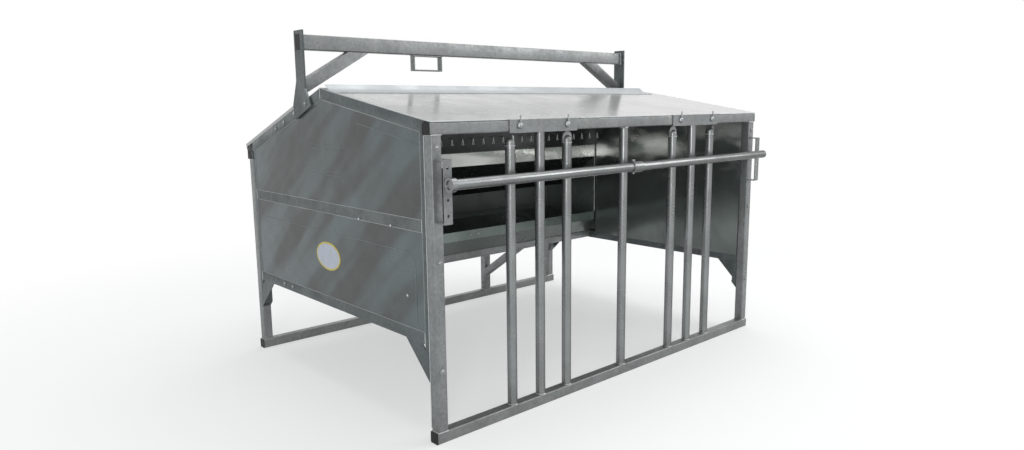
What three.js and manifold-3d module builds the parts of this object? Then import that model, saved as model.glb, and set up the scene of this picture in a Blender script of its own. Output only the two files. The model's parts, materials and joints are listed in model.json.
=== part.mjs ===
// A calf creep feeder: a roofed pen of galvanised tube and sheet on two skid rails.
// Calves walk in between the front bars and eat from a trough that a rear hopper fills.
// Millimetres, +Z up, -Y is the front with the bars, origin on the ground at the middle of the bounding box.
import * as THREE from "three";
import { mergeVertices } from "three/addons/utils/BufferGeometryUtils.js";
import Module from "manifold-3d";

const wasm = await Module();
wasm.setup();

// Overall sizes. Until the last lines Y counts from the front face of the front frame.
const overallWidth = 2400;
const overallDepth = 1750;
const frontHeight = 1325;
const rearHeight = 1153;
const ridgeY = 877;
const ridgeRise = 149;
const rearEavesRise = 41.5;

// Square tube, sheet and fits.
const tube = 50;
const tubeWall = 3;
const tubeCorner = 6;
const cornerSteps = 3;
const edgeSteps = 2;
const sheet = 2.5;
const gap = 0.3;
const overrun = 4;
const weldTolerance = 1e-4;

// End caps of the rails and of the lifting beam.
const capThickness = 3;
const capSpigot = 15;
const capFit = 0.5;

// Side frames.
const postInset = 8;
const sideBottomZ = 415;
const sideMiddleZ = 883;
const uprightWidth = 28;
const gussetLength = 168;
const gussetDrop = 163;
const gussetThickness = 5;
const gussetCope = 25;
const ventRadius = 6;
const sheetRecess = 2.5;
const liningLap = 10;
const liningRearGap = 2;

// Middle legs and their braces.
const middleLegX = 512;
const braceTube = 45;
const braceLegZ = 185;
const braceRailZ = 441;

// Hopper and trough.
const unitSideGap = 12;
const unitY = 1214;
const stripTop = 1100;
const stripBottom = 1018;
const lipTop = 617;
const lipBottom = 558;
const troughRailY = 1265;
const troughRailZ = 420;
const floorRearZ = 608;
const floorUpturn = 40;
const throatEndY = 1500;
const throatEndZ = 800;
const hopperTopSetback = 15;
const hopperBendDrop = 72;
const roofClearance = 8;
const backSheetBottom = 560;

// Roof, ridge and lid.
const roofOverhang = 4;
const flashingLip = 50;
const flashingSetback = 112;
const flashingRadius = 92;
const flashingTurnDegrees = 40;
const flashingShortfall = 62;
const flashingSteps = 8;
const hingeSetback = 273;
const hingePinRadius = 6;
const hingeFit = 0.5;
const knuckleRadius = 10;
const knuckleLength = 60;
const knuckleGap = 1;
const knuckleShares = [-0.75, -0.25, 0.25, 0.75];
const lidRearY = 1787;
const lidDepth = 17;
const lidSkirt = 35;
const lidInset = 1.5;
const lidFrontGap = 2;

// Lifting frame, its places counted back from the ridge and up from it.
const plateThickness = 10;
const plateRise = 279;
const plateFront = 133;
const plateRear = 218;
const plateFootFront = 77;
const plateFootRear = 267;
const plateFootDrop = 81;
const plateFootLow = 242;
const plateFootLowDrop = 145;
const waistRearRise = 41;
const waistFrontRise = 1;
const beamBack = 157;
const beamRise = 186;
const beamHeight = 74;
const liftBraceFall = 143;
const liftBraceReach = 251;
const liftBraceDepth = 60;
const loopX = -445;
const loopWidth = 190;
const loopDrop = 84;
const loopStrap = 8;
const loopStrapWidth = 36;
const loopWeld = 1;
const loopCornerShare = 0.25;

// Creep bars and the two gates that carry the movable ones.
const barDiameter = 45;
const barWall = 3;
const barSides = 20;
const fixedBarX = 583;
const innerBarX = 408;
const outerBarX = 760;
const gateTravel = 20;
const gateBarDrop = 75;
const lugWidth = 60;
const lugThickness = 8;
const lugDepth = 35;
const lugCornerShare = 0.25;
const angleThickness = 5;
const angleInnerX = 370;
const angleOuterX = 787;
const angleRise = 2;
const slotFit = 1;
const clampBoltXs = [436, 730];
const clampBoltRadius = 6;
const clampHeadRadius = 14;
const clampHeadHeight = 11;
const clampShoulderShare = 0.35;
const clampCrownShares = { radius: 0.75, height: 0.8 };
const clampTangReach = 45;
const clampTangWidth = 5;
const boltFit = 0.5;
const boltSides = 16;

// Straps with holes, and the height bar that is pinned to them.
const strapWidth = 40;
const strapInset = 37;
const strapStandoff = 52;
const strapThickness = 5;
const strapDrop = 143;
const strapLength = 256;
const strapHoleDrop = 33;
const strapHolePitch = 63;
const strapHoles = 4;
const pinFit = 0.5;
const heightHole = 1;
const heightTubeDiameter = 44.5;
const heightTubeWall = 3.2;
const heightBarOverhangs = { left: 20, right: 8 };
const heightJointX = -25;
const couplingLeft = -72;
const couplingLength = 72;
const couplingWall = 5;
const endRingDiameter = 58;
const endRingLength = 25;
const endPlugLength = 10;
const endRecess = 6;
const barPinRadius = 6;
const barPinTip = 12;
const lockBoltX = -57;
const lockBoltRadius = 6;
const lockHeadRadius = 9.5;
const lockHeadHeight = 8;
const lockTipReach = 6;

// Places that follow from the sizes above.
const halfWidth = overallWidth / 2;
const ridgeZ = frontHeight + ridgeRise;
const rearEavesZ = rearHeight + rearEavesRise;
const sideOuterX = halfWidth - postInset;
const sideInnerX = sideOuterX - tube;
const sideFrontY = tube + gap;
const sideRearY = overallDepth - tube - gap;
const frontSlope = (ridgeZ - frontHeight) / ridgeY;
const rearSlope = (ridgeZ - rearEavesZ) / (overallDepth - tube - ridgeY);
const frontPitch = Math.atan(frontSlope);
const rearPitch = Math.atan(rearSlope);
const unitHalfWidth = sideInnerX - unitSideGap;
const hopperTopY = ridgeY + hopperTopSetback;
const hopperBendZ = ridgeZ - hopperBendDrop;
const flashingY = ridgeY - flashingSetback;
const hingeY = ridgeY + hingeSetback;
const beamY = ridgeY + beamBack;
const beamZ = ridgeZ + beamRise;
const gateBarTop = frontHeight - gateBarDrop;
const strapTop = frontHeight - strapDrop;
const strapBottom = strapTop - strapLength;
const strapHoleTop = strapTop - strapHoleDrop;
const heightBarZ = strapHoleTop - heightHole * strapHolePitch;
const strapX = sideOuterX - strapInset;
const heightBarLeft = -strapX - heightBarOverhangs.left;
const heightBarRight = strapX + heightBarOverhangs.right;
const heightBarY = -strapStandoff - strapThickness / 2 - gap - endRingDiameter / 2;
const frontReach = endRingDiameter / 2 - heightBarY;
const middleOfDepth = (lidRearY - frontReach) / 2;
const frontRoofZ = (y) => frontHeight + frontSlope * y;
const rearRoofZ = (y) => ridgeZ - rearSlope * (y - ridgeY);

// Finishes.
const zincTube = new THREE.MeshStandardMaterial({ color: 0x8d9598, roughness: 0.42, metalness: 0.75 });
const zincSheet = new THREE.MeshStandardMaterial({ color: 0x9aa2a4, roughness: 0.32, metalness: 0.8 });
const zincFastener = new THREE.MeshStandardMaterial({ color: 0xa4a9aa, roughness: 0.36, metalness: 0.85 });
const blackPlastic = new THREE.MeshStandardMaterial({ color: 0x141516, roughness: 0.6, metalness: 0 });

const feeder = new THREE.Group();
const assembly = new THREE.Group();
assembly.position.y = -middleOfDepth;
feeder.add(assembly);

function place(name, geometry, material, x = 0, y = 0, z = 0, parent = assembly) {
  const mesh = new THREE.Mesh(geometry, material);
  mesh.name = name;
  mesh.position.set(x, y, z);
  parent.add(mesh);
  return mesh;
}

// Joining and cutting.
function solidOf(geometry) {
  const loose = geometry.index ? geometry.toNonIndexed() : geometry;
  const bare = new THREE.BufferGeometry().setAttribute("position", loose.getAttribute("position"));
  const merged = mergeVertices(bare, weldTolerance);
  const mesh = new wasm.Mesh({
    numProp: 3,
    vertProperties: new Float32Array(merged.attributes.position.array),
    triVerts: new Uint32Array(merged.index.array),
  });
  return new wasm.Manifold(mesh);
}

function geometryOf(solid) {
  const mesh = solid.getMesh();
  const geometry = new THREE.BufferGeometry();
  geometry.setAttribute("position", new THREE.BufferAttribute(mesh.vertProperties, 3));
  geometry.setIndex(new THREE.BufferAttribute(mesh.triVerts, 1));
  geometry.computeVertexNormals();
  return geometry;
}

function joined(first, ...others) {
  const solid = others.reduce((sum, next) => sum.add(solidOf(next)), solidOf(first));
  return geometryOf(solid);
}

function cut(body, ...tools) {
  const solid = tools.reduce((rest, next) => rest.subtract(solidOf(next)), solidOf(body));
  return geometryOf(solid);
}

// Outlines are lists of two-number points.
const vectors = (points) => points.map(([u, v]) => new THREE.Vector2(u, v));

function shapeOf(outline, openings = []) {
  const shape = new THREE.Shape(vectors(outline));
  shape.holes = openings.map((points) => new THREE.Path(vectors(points)));
  return shape;
}

// The unit step to the left of the way from one point to the next.
function leftOf(a, b) {
  const length = Math.hypot(b[0] - a[0], b[1] - a[1]);
  return [-(b[1] - a[1]) / length, (b[0] - a[0]) / length];
}

// A corner moved to the left of both its edges by a distance.
function mitred([u, v], m, n, distance) {
  const stretch = distance / (1 + m[0] * n[0] + m[1] * n[1]);
  return [u + (m[0] + n[0]) * stretch, v + (m[1] + n[1]) * stretch];
}

// Moves each edge of a closed outline to its left by a distance.
function shifted(outline, distance) {
  const count = outline.length;
  return outline.map((corner, i) => {
    const before = outline[(i + count - 1) % count];
    const after = outline[(i + 1) % count];
    return mitred(corner, leftOf(before, corner), leftOf(corner, after), distance);
  });
}

// The closed outline of a bent sheet: a path and its copy one thickness to the left.
function ribbon(path, thickness) {
  const last = path.length - 1;
  const other = path.map((corner, i) => {
    const from = path[Math.max(i - 1, 0)];
    const to = path[Math.min(i + 1, last)];
    const before = i > 0 ? leftOf(from, corner) : leftOf(corner, to);
    const after = i < last ? leftOf(corner, to) : leftOf(from, corner);
    return mitred(corner, before, after, thickness);
  });
  return [...path, ...other.reverse()];
}

function extruded(shape, length, edge = 0) {
  const geometry = new THREE.ExtrudeGeometry(shape, {
    depth: length - 2 * edge,
    bevelEnabled: edge > 0,
    bevelThickness: edge,
    bevelSize: edge,
    bevelOffset: -edge,
    bevelSegments: edgeSteps,
    curveSegments: cornerSteps,
  });
  return geometry.translate(0, 0, edge);
}

const alongX = new THREE.Matrix4().makeBasis(
  new THREE.Vector3(0, 1, 0),
  new THREE.Vector3(0, 0, 1),
  new THREE.Vector3(1, 0, 0),
);
const alongY = new THREE.Matrix4().makeBasis(
  new THREE.Vector3(1, 0, 0),
  new THREE.Vector3(0, 0, 1),
  new THREE.Vector3(0, -1, 0),
);

// A side view, in Y and Z, drawn out between two X values.
function sideView(outline, fromX, toX, openings = [], edge = 0) {
  const low = Math.min(fromX, toX);
  const geometry = extruded(shapeOf(outline, openings), Math.abs(toX - fromX), edge);
  return geometry.applyMatrix4(alongX).translate(low, 0, 0);
}

// A front view, in X and Z, drawn out between two Y values.
function frontView(outline, fromY, toY, openings = [], edge = 0) {
  const geometry = extruded(shapeOf(outline, openings), toY - fromY, edge);
  return geometry.applyMatrix4(alongY).translate(0, toY, 0);
}

function block(fromX, toX, fromY, toY, fromZ, toZ) {
  const geometry = new THREE.BoxGeometry(Math.abs(toX - fromX), toY - fromY, toZ - fromZ);
  return geometry.translate((fromX + toX) / 2, (fromY + toY) / 2, (fromZ + toZ) / 2);
}

function roundedRectangle(Outline, width, height, radius) {
  const u = width / 2;
  const v = height / 2;
  const outline = new Outline();
  outline.moveTo(-u + radius, -v);
  outline.absarc(u - radius, -v + radius, radius, -Math.PI / 2, 0);
  outline.absarc(u - radius, v - radius, radius, 0, Math.PI / 2);
  outline.absarc(-u + radius, v - radius, radius, Math.PI / 2, Math.PI);
  outline.absarc(-u + radius, -v + radius, radius, Math.PI, Math.PI * 1.5);
  return outline;
}

// A hollow square or rectangular tube, centred, along Z.
function tubeUpright(length, width = tube, height = tube) {
  const shape = roundedRectangle(THREE.Shape, width, height, tubeCorner);
  const wallTwice = 2 * tubeWall;
  const bore = roundedRectangle(THREE.Path, width - wallTwice, height - wallTwice, tubeCorner - tubeWall);
  shape.holes.push(bore);
  return extruded(shape, length).translate(0, 0, -length / 2);
}

const tubeAcross = (length, width, height) => tubeUpright(length, width, height).applyMatrix4(alongX);

// A round tube or rod along Y, from zero.
function pipe(outer, inner, length, sides) {
  const profile = [
    [inner, 0],
    [outer, 0],
    [outer, length],
    [inner, length],
  ];
  if (inner > 0) profile.push([inner, 0]);
  return new THREE.LatheGeometry(vectors(profile), sides);
}

const pipeUp = (outer, inner, length, sides) => pipe(outer, inner, length, sides).rotateX(Math.PI / 2);
const pipeAcross = (outer, inner, length, sides) => pipe(outer, inner, length, sides).rotateZ(-Math.PI / 2);

// A plastic cap on the +X end of a tube: its plate and the spigot inside the bore.
function capGeometry(width, height, direction) {
  const plate = extruded(roundedRectangle(THREE.Shape, width, height, tubeCorner), capThickness);
  const inside = 2 * (tubeWall + capFit);
  const spigotShape = roundedRectangle(THREE.Shape, width - inside, height - inside, tubeCorner - tubeWall);
  const spigot = extruded(spigotShape, capSpigot + overrun).translate(0, 0, -capSpigot);
  const trimmed = cut(spigot, block(-width, width, -height, height, capThickness / 2, capSpigot + overrun));
  const cap = joined(plate, trimmed).applyMatrix4(alongX);
  return direction > 0 ? cap : cap.rotateZ(Math.PI);
}

// A hollow frame: an outline with openings, walls all round, and a vent hole in its inner face.
function hollowFrame(outline, openings, fromX, toX, vent, edge) {
  const low = Math.min(fromX, toX);
  const high = Math.max(fromX, toX);
  const outside = sideView(outline, low, high, openings, edge);
  const inside = sideView(
    shifted(outline, tubeWall),
    low + tubeWall,
    high - tubeWall,
    openings.map((points) => shifted(points, tubeWall)),
  );
  const inward = vent.x > 0 ? -1 : 1;
  const hole = pipeAcross(ventRadius, 0, tubeWall + 2 * overrun, boltSides);
  const start = inward > 0 ? high - tubeWall - overrun : low - overrun;
  return cut(outside, inside, hole.translate(start, vent.y, vent.z));
}

function frontFrame() {
  const railLength = overallWidth - 2 * (capThickness + gap);
  const heights = { bottom: tube / 2, top: frontHeight - tube / 2 };
  const postLength = frontHeight - 2 * (tube + gap);
  for (const [level, z] of Object.entries(heights)) {
    place(`front_${level}_rail`, tubeAcross(railLength), zincTube, 0, tube / 2, z);
  }
  for (const [side, sign] of Object.entries({ left: -1, right: 1 })) {
    const x = sign * (sideOuterX - tube / 2);
    place(`front_post_${side}`, tubeUpright(postLength), zincTube, x, tube / 2, frontHeight / 2);
    for (const [level, z] of Object.entries(heights)) {
      const cap = capGeometry(tube, tube, sign);
      place(`front_cap_${level}_${side}`, cap, blackPlastic, sign * (halfWidth - capThickness), tube / 2, z);
    }
  }
}

function rearFrame() {
  const railLength = overallWidth - 2 * (capThickness + gap);
  const y = overallDepth - tube / 2;
  const postLength = rearHeight - 2 * (tube + gap);
  const levels = { skid: tube / 2, top: rearHeight - tube / 2 };
  for (const [level, z] of Object.entries(levels)) {
    place(`rear_${level}_rail`, tubeAcross(railLength), zincTube, 0, y, z);
  }
  for (const [side, sign] of Object.entries({ left: -1, right: 1 })) {
    const x = sign * (sideOuterX - tube / 2);
    place(`rear_post_${side}`, tubeUpright(postLength), zincTube, x, y, rearHeight / 2);
    for (const [level, z] of Object.entries(levels)) {
      const cap = capGeometry(tube, tube, sign);
      place(`rear_cap_${level}_${side}`, cap, blackPlastic, sign * (halfWidth - capThickness), y, z);
    }
  }
}

// Each middle leg stands on the skid rail, and its brace runs forward and up to the trough rail.
function middleLegs() {
  const front = overallDepth - tube;
  const railBack = troughRailY + tube + gap;
  const climb = Math.atan2(braceRailZ - braceLegZ, front - railBack);
  const half = braceTube / 2 / Math.cos(climb);
  const outline = [
    [overallDepth, tube + gap],
    [overallDepth, rearHeight - tube - gap],
    [front, rearHeight - tube - gap],
    [front, braceLegZ + half],
    [railBack, braceRailZ + half],
    [railBack, braceRailZ - half],
    [front, braceLegZ - half],
    [front, tube + gap],
  ];
  for (const [side, sign] of Object.entries({ left: -1, right: 1 })) {
    const x = sign * middleLegX;
    const vent = { x: sign, y: overallDepth - tube / 2, z: 2 * tube };
    const leg = hollowFrame(outline, [], x - tube / 2, x + tube / 2, vent, tubeCorner / 2);
    place(`mid_leg_${side}`, leg, zincTube);
  }
}

// Side frame: outline, the two openings, and gussets under the bottom rail.
const sideTopVertical = tube / Math.cos(frontPitch);
const sideRearVertical = tube / Math.cos(rearPitch);
const gussetSlope = gussetDrop / gussetLength;
const gussetLow = sideBottomZ - gussetDrop;
const frontInner = sideFrontY + uprightWidth;
const rearInner = sideRearY - uprightWidth;
const mitreY = (() => {
  const drop = ridgeZ + rearSlope * ridgeY - sideRearVertical - (frontHeight - sideTopVertical);
  return drop / (frontSlope + rearSlope);
})();

function sideFrameOutline() {
  return [
    [sideFrontY, gussetLow],
    [frontInner, gussetLow + uprightWidth * gussetSlope],
    [frontInner, sideBottomZ],
    [rearInner, sideBottomZ],
    [rearInner, gussetLow + uprightWidth * gussetSlope],
    [sideRearY, gussetLow],
    [sideRearY, rearRoofZ(sideRearY)],
    [ridgeY, ridgeZ],
    [sideFrontY, frontRoofZ(sideFrontY)],
  ];
}

// The two openings, clockwise, each set back by a margin from the rails.
function sideOpenings(margin) {
  const front = frontInner + margin;
  const rear = rearInner - margin;
  const lowerBottom = sideBottomZ + tube + margin;
  const upperBottom = sideMiddleZ + tube + margin;
  const lower = [
    [front, lowerBottom],
    [front, sideMiddleZ - margin],
    [rear, sideMiddleZ - margin],
    [rear, lowerBottom],
  ];
  const upper = [
    [front, upperBottom],
    [front, frontRoofZ(front) - sideTopVertical - margin],
    [mitreY, frontRoofZ(mitreY) - sideTopVertical - margin],
    [rear, rearRoofZ(rear) - sideRearVertical - margin],
    [rear, upperBottom],
  ];
  return { lower, upper };
}

// The lining hides the rails from the pen and laps the bottom rail, as far back as the trough.
function liningOutline() {
  const bottom = sideBottomZ + tube - liningLap;
  const rear = unitY - liningRearGap;
  return [
    [sideFrontY, bottom],
    [sideFrontY, frontRoofZ(sideFrontY) - liningLap],
    [ridgeY, ridgeZ - liningLap],
    [rear, rearRoofZ(rear) - liningLap],
    [rear, bottom],
  ].reverse();
}

function gusset(sign, corner, inward) {
  const low = sign > 0 ? sideOuterX - gussetThickness : -sideOuterX;
  const edge = corner + inward * overrun;
  const far = corner + inward * (gussetLength + overrun / gussetSlope);
  const outline = [
    [edge, gussetLow + overrun * gussetSlope],
    [far, sideBottomZ + overrun],
    [edge, sideBottomZ + overrun],
  ];
  const cornerY = corner + inward * uprightWidth;
  const cope = [
    [cornerY, sideBottomZ],
    [cornerY, sideBottomZ - gussetCope],
    [cornerY + inward * gussetCope, sideBottomZ],
  ];
  const ordered = (points) => (inward > 0 ? points : [...points].reverse());
  const plate = sideView(ordered(outline), low, low + gussetThickness);
  const hole = sideView(ordered(cope).reverse(), low - overrun, low + gussetThickness + overrun);
  return cut(plate, hole);
}

function sideFrames() {
  for (const [side, sign] of Object.entries({ left: -1, right: 1 })) {
    const openings = sideOpenings(0);
    const outer = sign * sideOuterX;
    const inner = sign * sideInnerX;
    const vent = { x: sign, y: rearInner - tube, z: sideBottomZ + tube / 2 };
    const frame = hollowFrame(
      sideFrameOutline(),
      [openings.lower, openings.upper],
      outer,
      inner,
      vent,
      tubeCorner / 2,
    );
    const gussets = [gusset(sign, sideFrontY, 1), gusset(sign, sideRearY, -1)];
    place(`side_frame_${side}`, joined(frame, ...gussets), zincTube);
    const sheets = sideOpenings(gap);
    const faceX = sign * (sideOuterX - sheetRecess);
    for (const [level, outline] of Object.entries(sheets)) {
      const counter = [...outline].reverse();
      const panel = sideView(counter, faceX, faceX - sign * sheet);
      place(`side_${level}_sheet_${side}`, panel, zincSheet);
    }
    const lining = sideView(liningOutline(), inner - sign * gap, inner - sign * (gap + sheet));
    place(`side_lining_${side}`, lining, zincSheet);
  }
}

// Roof sheet on the front slope and the curved upstand near the ridge.
function roof() {
  const reach = sideOuterX + roofOverhang;
  const path = [
    [0, frontRoofZ(0) + gap],
    [ridgeY - gap, frontRoofZ(ridgeY - gap) + gap],
  ];
  place("roof_sheet", sideView(ribbon(path, sheet), -reach, reach), zincSheet);
  const top = (y) => frontRoofZ(y) + (sheet + gap) / Math.cos(frontPitch) + gap;
  const turn = THREE.MathUtils.degToRad(flashingTurnDegrees);
  const curve = [[flashingY - flashingLip, top(flashingY - flashingLip)]];
  for (let i = 0; i <= flashingSteps; i += 1) {
    const angle = frontPitch + (turn * i) / flashingSteps;
    const across = flashingRadius * (Math.sin(angle) - Math.sin(frontPitch));
    const up = flashingRadius * (Math.cos(frontPitch) - Math.cos(angle));
    curve.push([flashingY + across, top(flashingY) + up]);
  }
  place("ridge_flashing", sideView(ribbon(curve, sheet), -reach, reach - flashingShortfall), zincSheet);
}

// The hinge group lies on the rear slope: its Y runs down the slope from the hinge axis.
const hingeLift = knuckleRadius + hingeFit;
const knucklePlaces = knuckleShares.map((share) => share * halfWidth);
const hingeOrigin = new THREE.Vector3(
  0,
  hingeY + hingeLift * Math.sin(rearPitch),
  rearRoofZ(hingeY) + hingeLift * Math.cos(rearPitch),
);

function knuckle(length) {
  return pipeAcross(knuckleRadius, 0, length, boltSides).translate(-length / 2, 0, 0);
}

const hingeUnder = gap - hingeLift;
const halfStrip = sideOuterX - lidInset;

function hingeBore() {
  return pipeAcross(hingePinRadius + hingeFit, 0, overallWidth, boltSides).translate(-halfWidth, 0, 0);
}

function ridgeStrip() {
  const back = (hingeY - ridgeY) / Math.cos(rearPitch);
  const strip = block(-halfStrip, halfStrip, gap - back, 0, hingeUnder, hingeUnder + sheet);
  const notches = knucklePlaces.map((x) => {
    const half = knuckleLength / 2 + knuckleGap;
    const reach = knuckleRadius + lidFrontGap;
    return block(x - half, x + half, -reach, reach, -reach, reach);
  });
  return cut(joined(strip, knuckle(2 * halfStrip)), hingeBore(), ...notches);
}

function rearLid() {
  const front = knuckleRadius + lidFrontGap;
  const top = hingeUnder + hingeFit + lidDepth;
  const rear = (lidRearY - hingeOrigin.y - top * Math.sin(rearPitch)) / Math.cos(rearPitch);
  const low = top - lidDepth;
  const pan = cut(
    joined(
      block(-halfStrip, halfStrip, front, rear, low, top),
      block(-halfStrip, halfStrip, rear - sheet, rear, top - lidSkirt, top - sheet),
    ),
    block(sheet - halfStrip, halfStrip - sheet, front + sheet, rear - sheet, low - overrun, top - sheet),
  );
  const arms = knucklePlaces.flatMap((x) => {
    const half = knuckleLength / 2;
    const ring = knuckle(knuckleLength).translate(x, 0, 0);
    const arm = block(x - half, x + half, 0, front + sheet / 2, hingeUnder + hingeFit, top - sheet);
    return [ring, arm];
  });
  return cut(joined(pan, ...arms), hingeBore());
}

function rearRoof() {
  const slope = new THREE.Group();
  slope.position.copy(hingeOrigin);
  slope.rotation.x = -rearPitch;
  assembly.add(slope);
  const pin = pipeAcross(hingePinRadius, 0, 2 * halfStrip, boltSides).translate(-halfStrip, 0, 0);
  place("ridge_strip", ridgeStrip(), zincSheet, 0, 0, 0, slope);
  place("lid_hinge_pin", pin, zincFastener, 0, 0, 0, slope);
  place("rear_lid", rearLid(), zincSheet, 0, 0, 0, slope);
}

// Hopper front with its throat, trough with its ends, back sheet and trough rail.
const troughRailTop = troughRailZ + tube + gap;
const hopperBackY = sideRearY - sheet - gap;
const troughRearY = hopperBackY - gap;

function hopperFront() {
  const inside = unitHalfWidth - sheet - gap;
  const front = [
    [hopperTopY, rearRoofZ(hopperTopY) - roofClearance],
    [hopperTopY, hopperBendZ],
    [unitY, stripTop],
    [unitY, stripBottom],
    [throatEndY, throatEndZ],
  ];
  return sideView(ribbon(front, sheet), -inside, inside);
}

function troughBed() {
  const floor = [
    [unitY, lipTop],
    [unitY, lipBottom],
    [troughRailY, troughRailTop],
    [troughRailY + tube, troughRailTop],
    [troughRearY, floorRearZ],
    [troughRearY, floorRearZ + floorUpturn],
  ];
  const half = unitHalfWidth - sheet / 2;
  return sideView(ribbon(floor, sheet), -half, half);
}

function troughEnd(fromX, toX) {
  const end = [
    [unitY, lipBottom],
    [troughRailY, troughRailTop],
    [troughRailY + tube, troughRailTop],
    [troughRearY, floorRearZ],
    [troughRearY, rearRoofZ(troughRearY) - tube],
    [hopperTopY, rearRoofZ(hopperTopY) - tube],
    [hopperTopY, hopperBendZ],
    [unitY, stripTop],
  ];
  return sideView(shifted(end, sheet / 2), fromX, toX);
}

function hopperAndTrough() {
  const leftEnd = troughEnd(-unitHalfWidth, sheet - unitHalfWidth);
  const rightEnd = troughEnd(unitHalfWidth - sheet, unitHalfWidth);
  const halfInside = sideInnerX - gap;
  const back = block(-halfInside, halfInside, hopperBackY, hopperBackY + sheet, backSheetBottom, rearHeight);
  const railZ = troughRailZ + tube / 2;
  place("hopper_front", hopperFront(), zincSheet);
  place("trough", joined(troughBed(), leftEnd, rightEnd), zincSheet);
  place("hopper_back", back, zincSheet);
  place("trough_rail", tubeAcross(2 * halfInside), zincTube, 0, troughRailY + tube / 2, railZ);
}

// Lifting frame: plates bolted to the side frames, a beam through them, braces and a strap loop.
const liftInnerX = sideOuterX + gap;
const liftOuterX = liftInnerX + plateThickness;

function liftPlate(sign) {
  const plate = [
    [plateFront, plateRise],
    [plateFront, waistFrontRise],
    [plateFootFront, -plateFootDrop],
    [plateFootLow, -plateFootLowDrop],
    [plateFootRear, -plateFootDrop],
    [plateRear, waistRearRise],
    [plateRear, plateRise],
  ].map(([back, up]) => [ridgeY + back, ridgeZ + up]);
  const hole = [
    [beamY - gap, beamZ - gap],
    [beamY + tube + gap, beamZ - gap],
    [beamY + tube + gap, beamZ + beamHeight + gap],
    [beamY - gap, beamZ + beamHeight + gap],
  ];
  return sideView(plate, sign * liftInnerX, sign * liftOuterX, [hole]);
}

function liftBrace(sign) {
  const wide = (liftBraceDepth * Math.hypot(liftBraceReach, liftBraceFall)) / liftBraceFall;
  const top = beamZ - gap;
  const innerX = sideOuterX - liftBraceReach;
  const lowFall = liftBraceFall * (1 + wide / liftBraceReach);
  const outline = [
    [innerX, top],
    [sideOuterX, top - liftBraceFall],
    [sideOuterX, top - lowFall],
    [innerX - wide, top],
  ].map(([x, z]) => [sign * x, z]);
  const turned = sign > 0 ? [...outline].reverse() : outline;
  const outside = frontView(turned, beamY, beamY + tube, [], tubeCorner / 2);
  const bore = frontView(shifted(turned, tubeWall), beamY + tubeWall, beamY + tube - tubeWall);
  const vent = pipeUp(ventRadius, 0, tubeWall + 2 * overrun, boltSides);
  vent.translate(sign * (innerX - wide / 2), beamY + tube / 2, top - tubeWall - overrun);
  return cut(outside, bore, vent);
}

function strapLoop() {
  const rectangle = (half, low, high) => [
    [loopX - half, low],
    [loopX + half, low],
    [loopX + half, high],
    [loopX - half, high],
  ];
  const top = beamZ + loopWeld;
  const bottom = beamZ - loopDrop;
  const front = beamY + (tube - loopStrapWidth) / 2;
  const outline = rectangle(loopWidth / 2, bottom, top);
  const window = rectangle(loopWidth / 2 - loopStrap, bottom + loopStrap, top - loopStrap);
  return frontView(outline, front, front + loopStrapWidth, [window.reverse()], loopStrap * loopCornerShare);
}

function liftingFrame() {
  const middleY = beamY + tube / 2;
  const middleZ = beamZ + beamHeight / 2;
  for (const [side, sign] of Object.entries({ left: -1, right: 1 })) {
    const cap = capGeometry(tube, beamHeight, sign);
    place(`lift_plate_${side}`, liftPlate(sign), zincTube);
    place(`beam_cap_${side}`, cap, blackPlastic, sign * (liftOuterX - capThickness), middleY, middleZ);
    place(`lift_brace_${side}`, liftBrace(sign), zincTube);
  }
  const beam = tubeAcross(2 * (liftOuterX - capThickness - gap), tube, beamHeight);
  place("lift_beam", joined(beam.translate(0, middleY, middleZ), strapLoop()), zincTube);
}

// Bars: fixed ones are welded between the rails, gate bars hang from the clamp angles.
const barY = tube / 2;
const barRadius = barDiameter / 2;

function fixedBars() {
  const length = frontHeight - 2 * (tube + gap);
  const bars = { middle: 0, left: -fixedBarX, right: fixedBarX };
  for (const [where, x] of Object.entries(bars)) {
    const bar = pipeUp(barRadius, barRadius - barWall, length, barSides);
    place(`fixed_bar_${where}`, bar, zincTube, x, barY, tube + gap);
  }
}

function gateBar(turned) {
  const bottom = tube + gap;
  const lugTop = frontHeight - tube - gap - angleThickness - gap;
  const half = lugWidth / 2;
  const corner = lugWidth * lugCornerShare;
  const outline = [
    [-half, gateBarTop - lugDepth],
    [half, gateBarTop - lugDepth],
    [half, lugTop - corner],
    [half - corner, lugTop],
    [corner - half, lugTop],
    [-half, lugTop - corner],
  ];
  const bar = pipeUp(barRadius, barRadius - barWall, gateBarTop - bottom, barSides).translate(0, 0, bottom);
  const lug = frontView(outline, -lugThickness / 2, lugThickness / 2);
  return joined(bar, turned ? lug.rotateZ(Math.PI / 2).scale(1, barDiameter / lugWidth, 1) : lug);
}

function clampAngle(sign) {
  const under = frontHeight - tube - gap - angleThickness;
  const profile = [
    [-gap, frontHeight + angleRise],
    [-gap - angleThickness, frontHeight + angleRise],
    [-gap - angleThickness, under],
    [tube, under],
    [tube, under + angleThickness],
    [-gap, under + angleThickness],
  ];
  const angle = sideView(profile, sign * angleInnerX, sign * angleOuterX);
  const half = barRadius + gateTravel + slotFit;
  const x = sign * fixedBarX;
  const slotFront = barY - barRadius - slotFit;
  const slot = block(x - half, x + half, slotFront, tube + overrun, under - overrun, under + tube);
  const holes = clampBoltXs.map((boltX) => {
    const hole = pipe(clampBoltRadius + boltFit, 0, angleThickness + 2 * overrun, boltSides);
    return hole.translate(sign * boltX, -gap - angleThickness - overrun, frontHeight - tube / 2);
  });
  return cut(angle, slot, ...holes);
}

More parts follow.
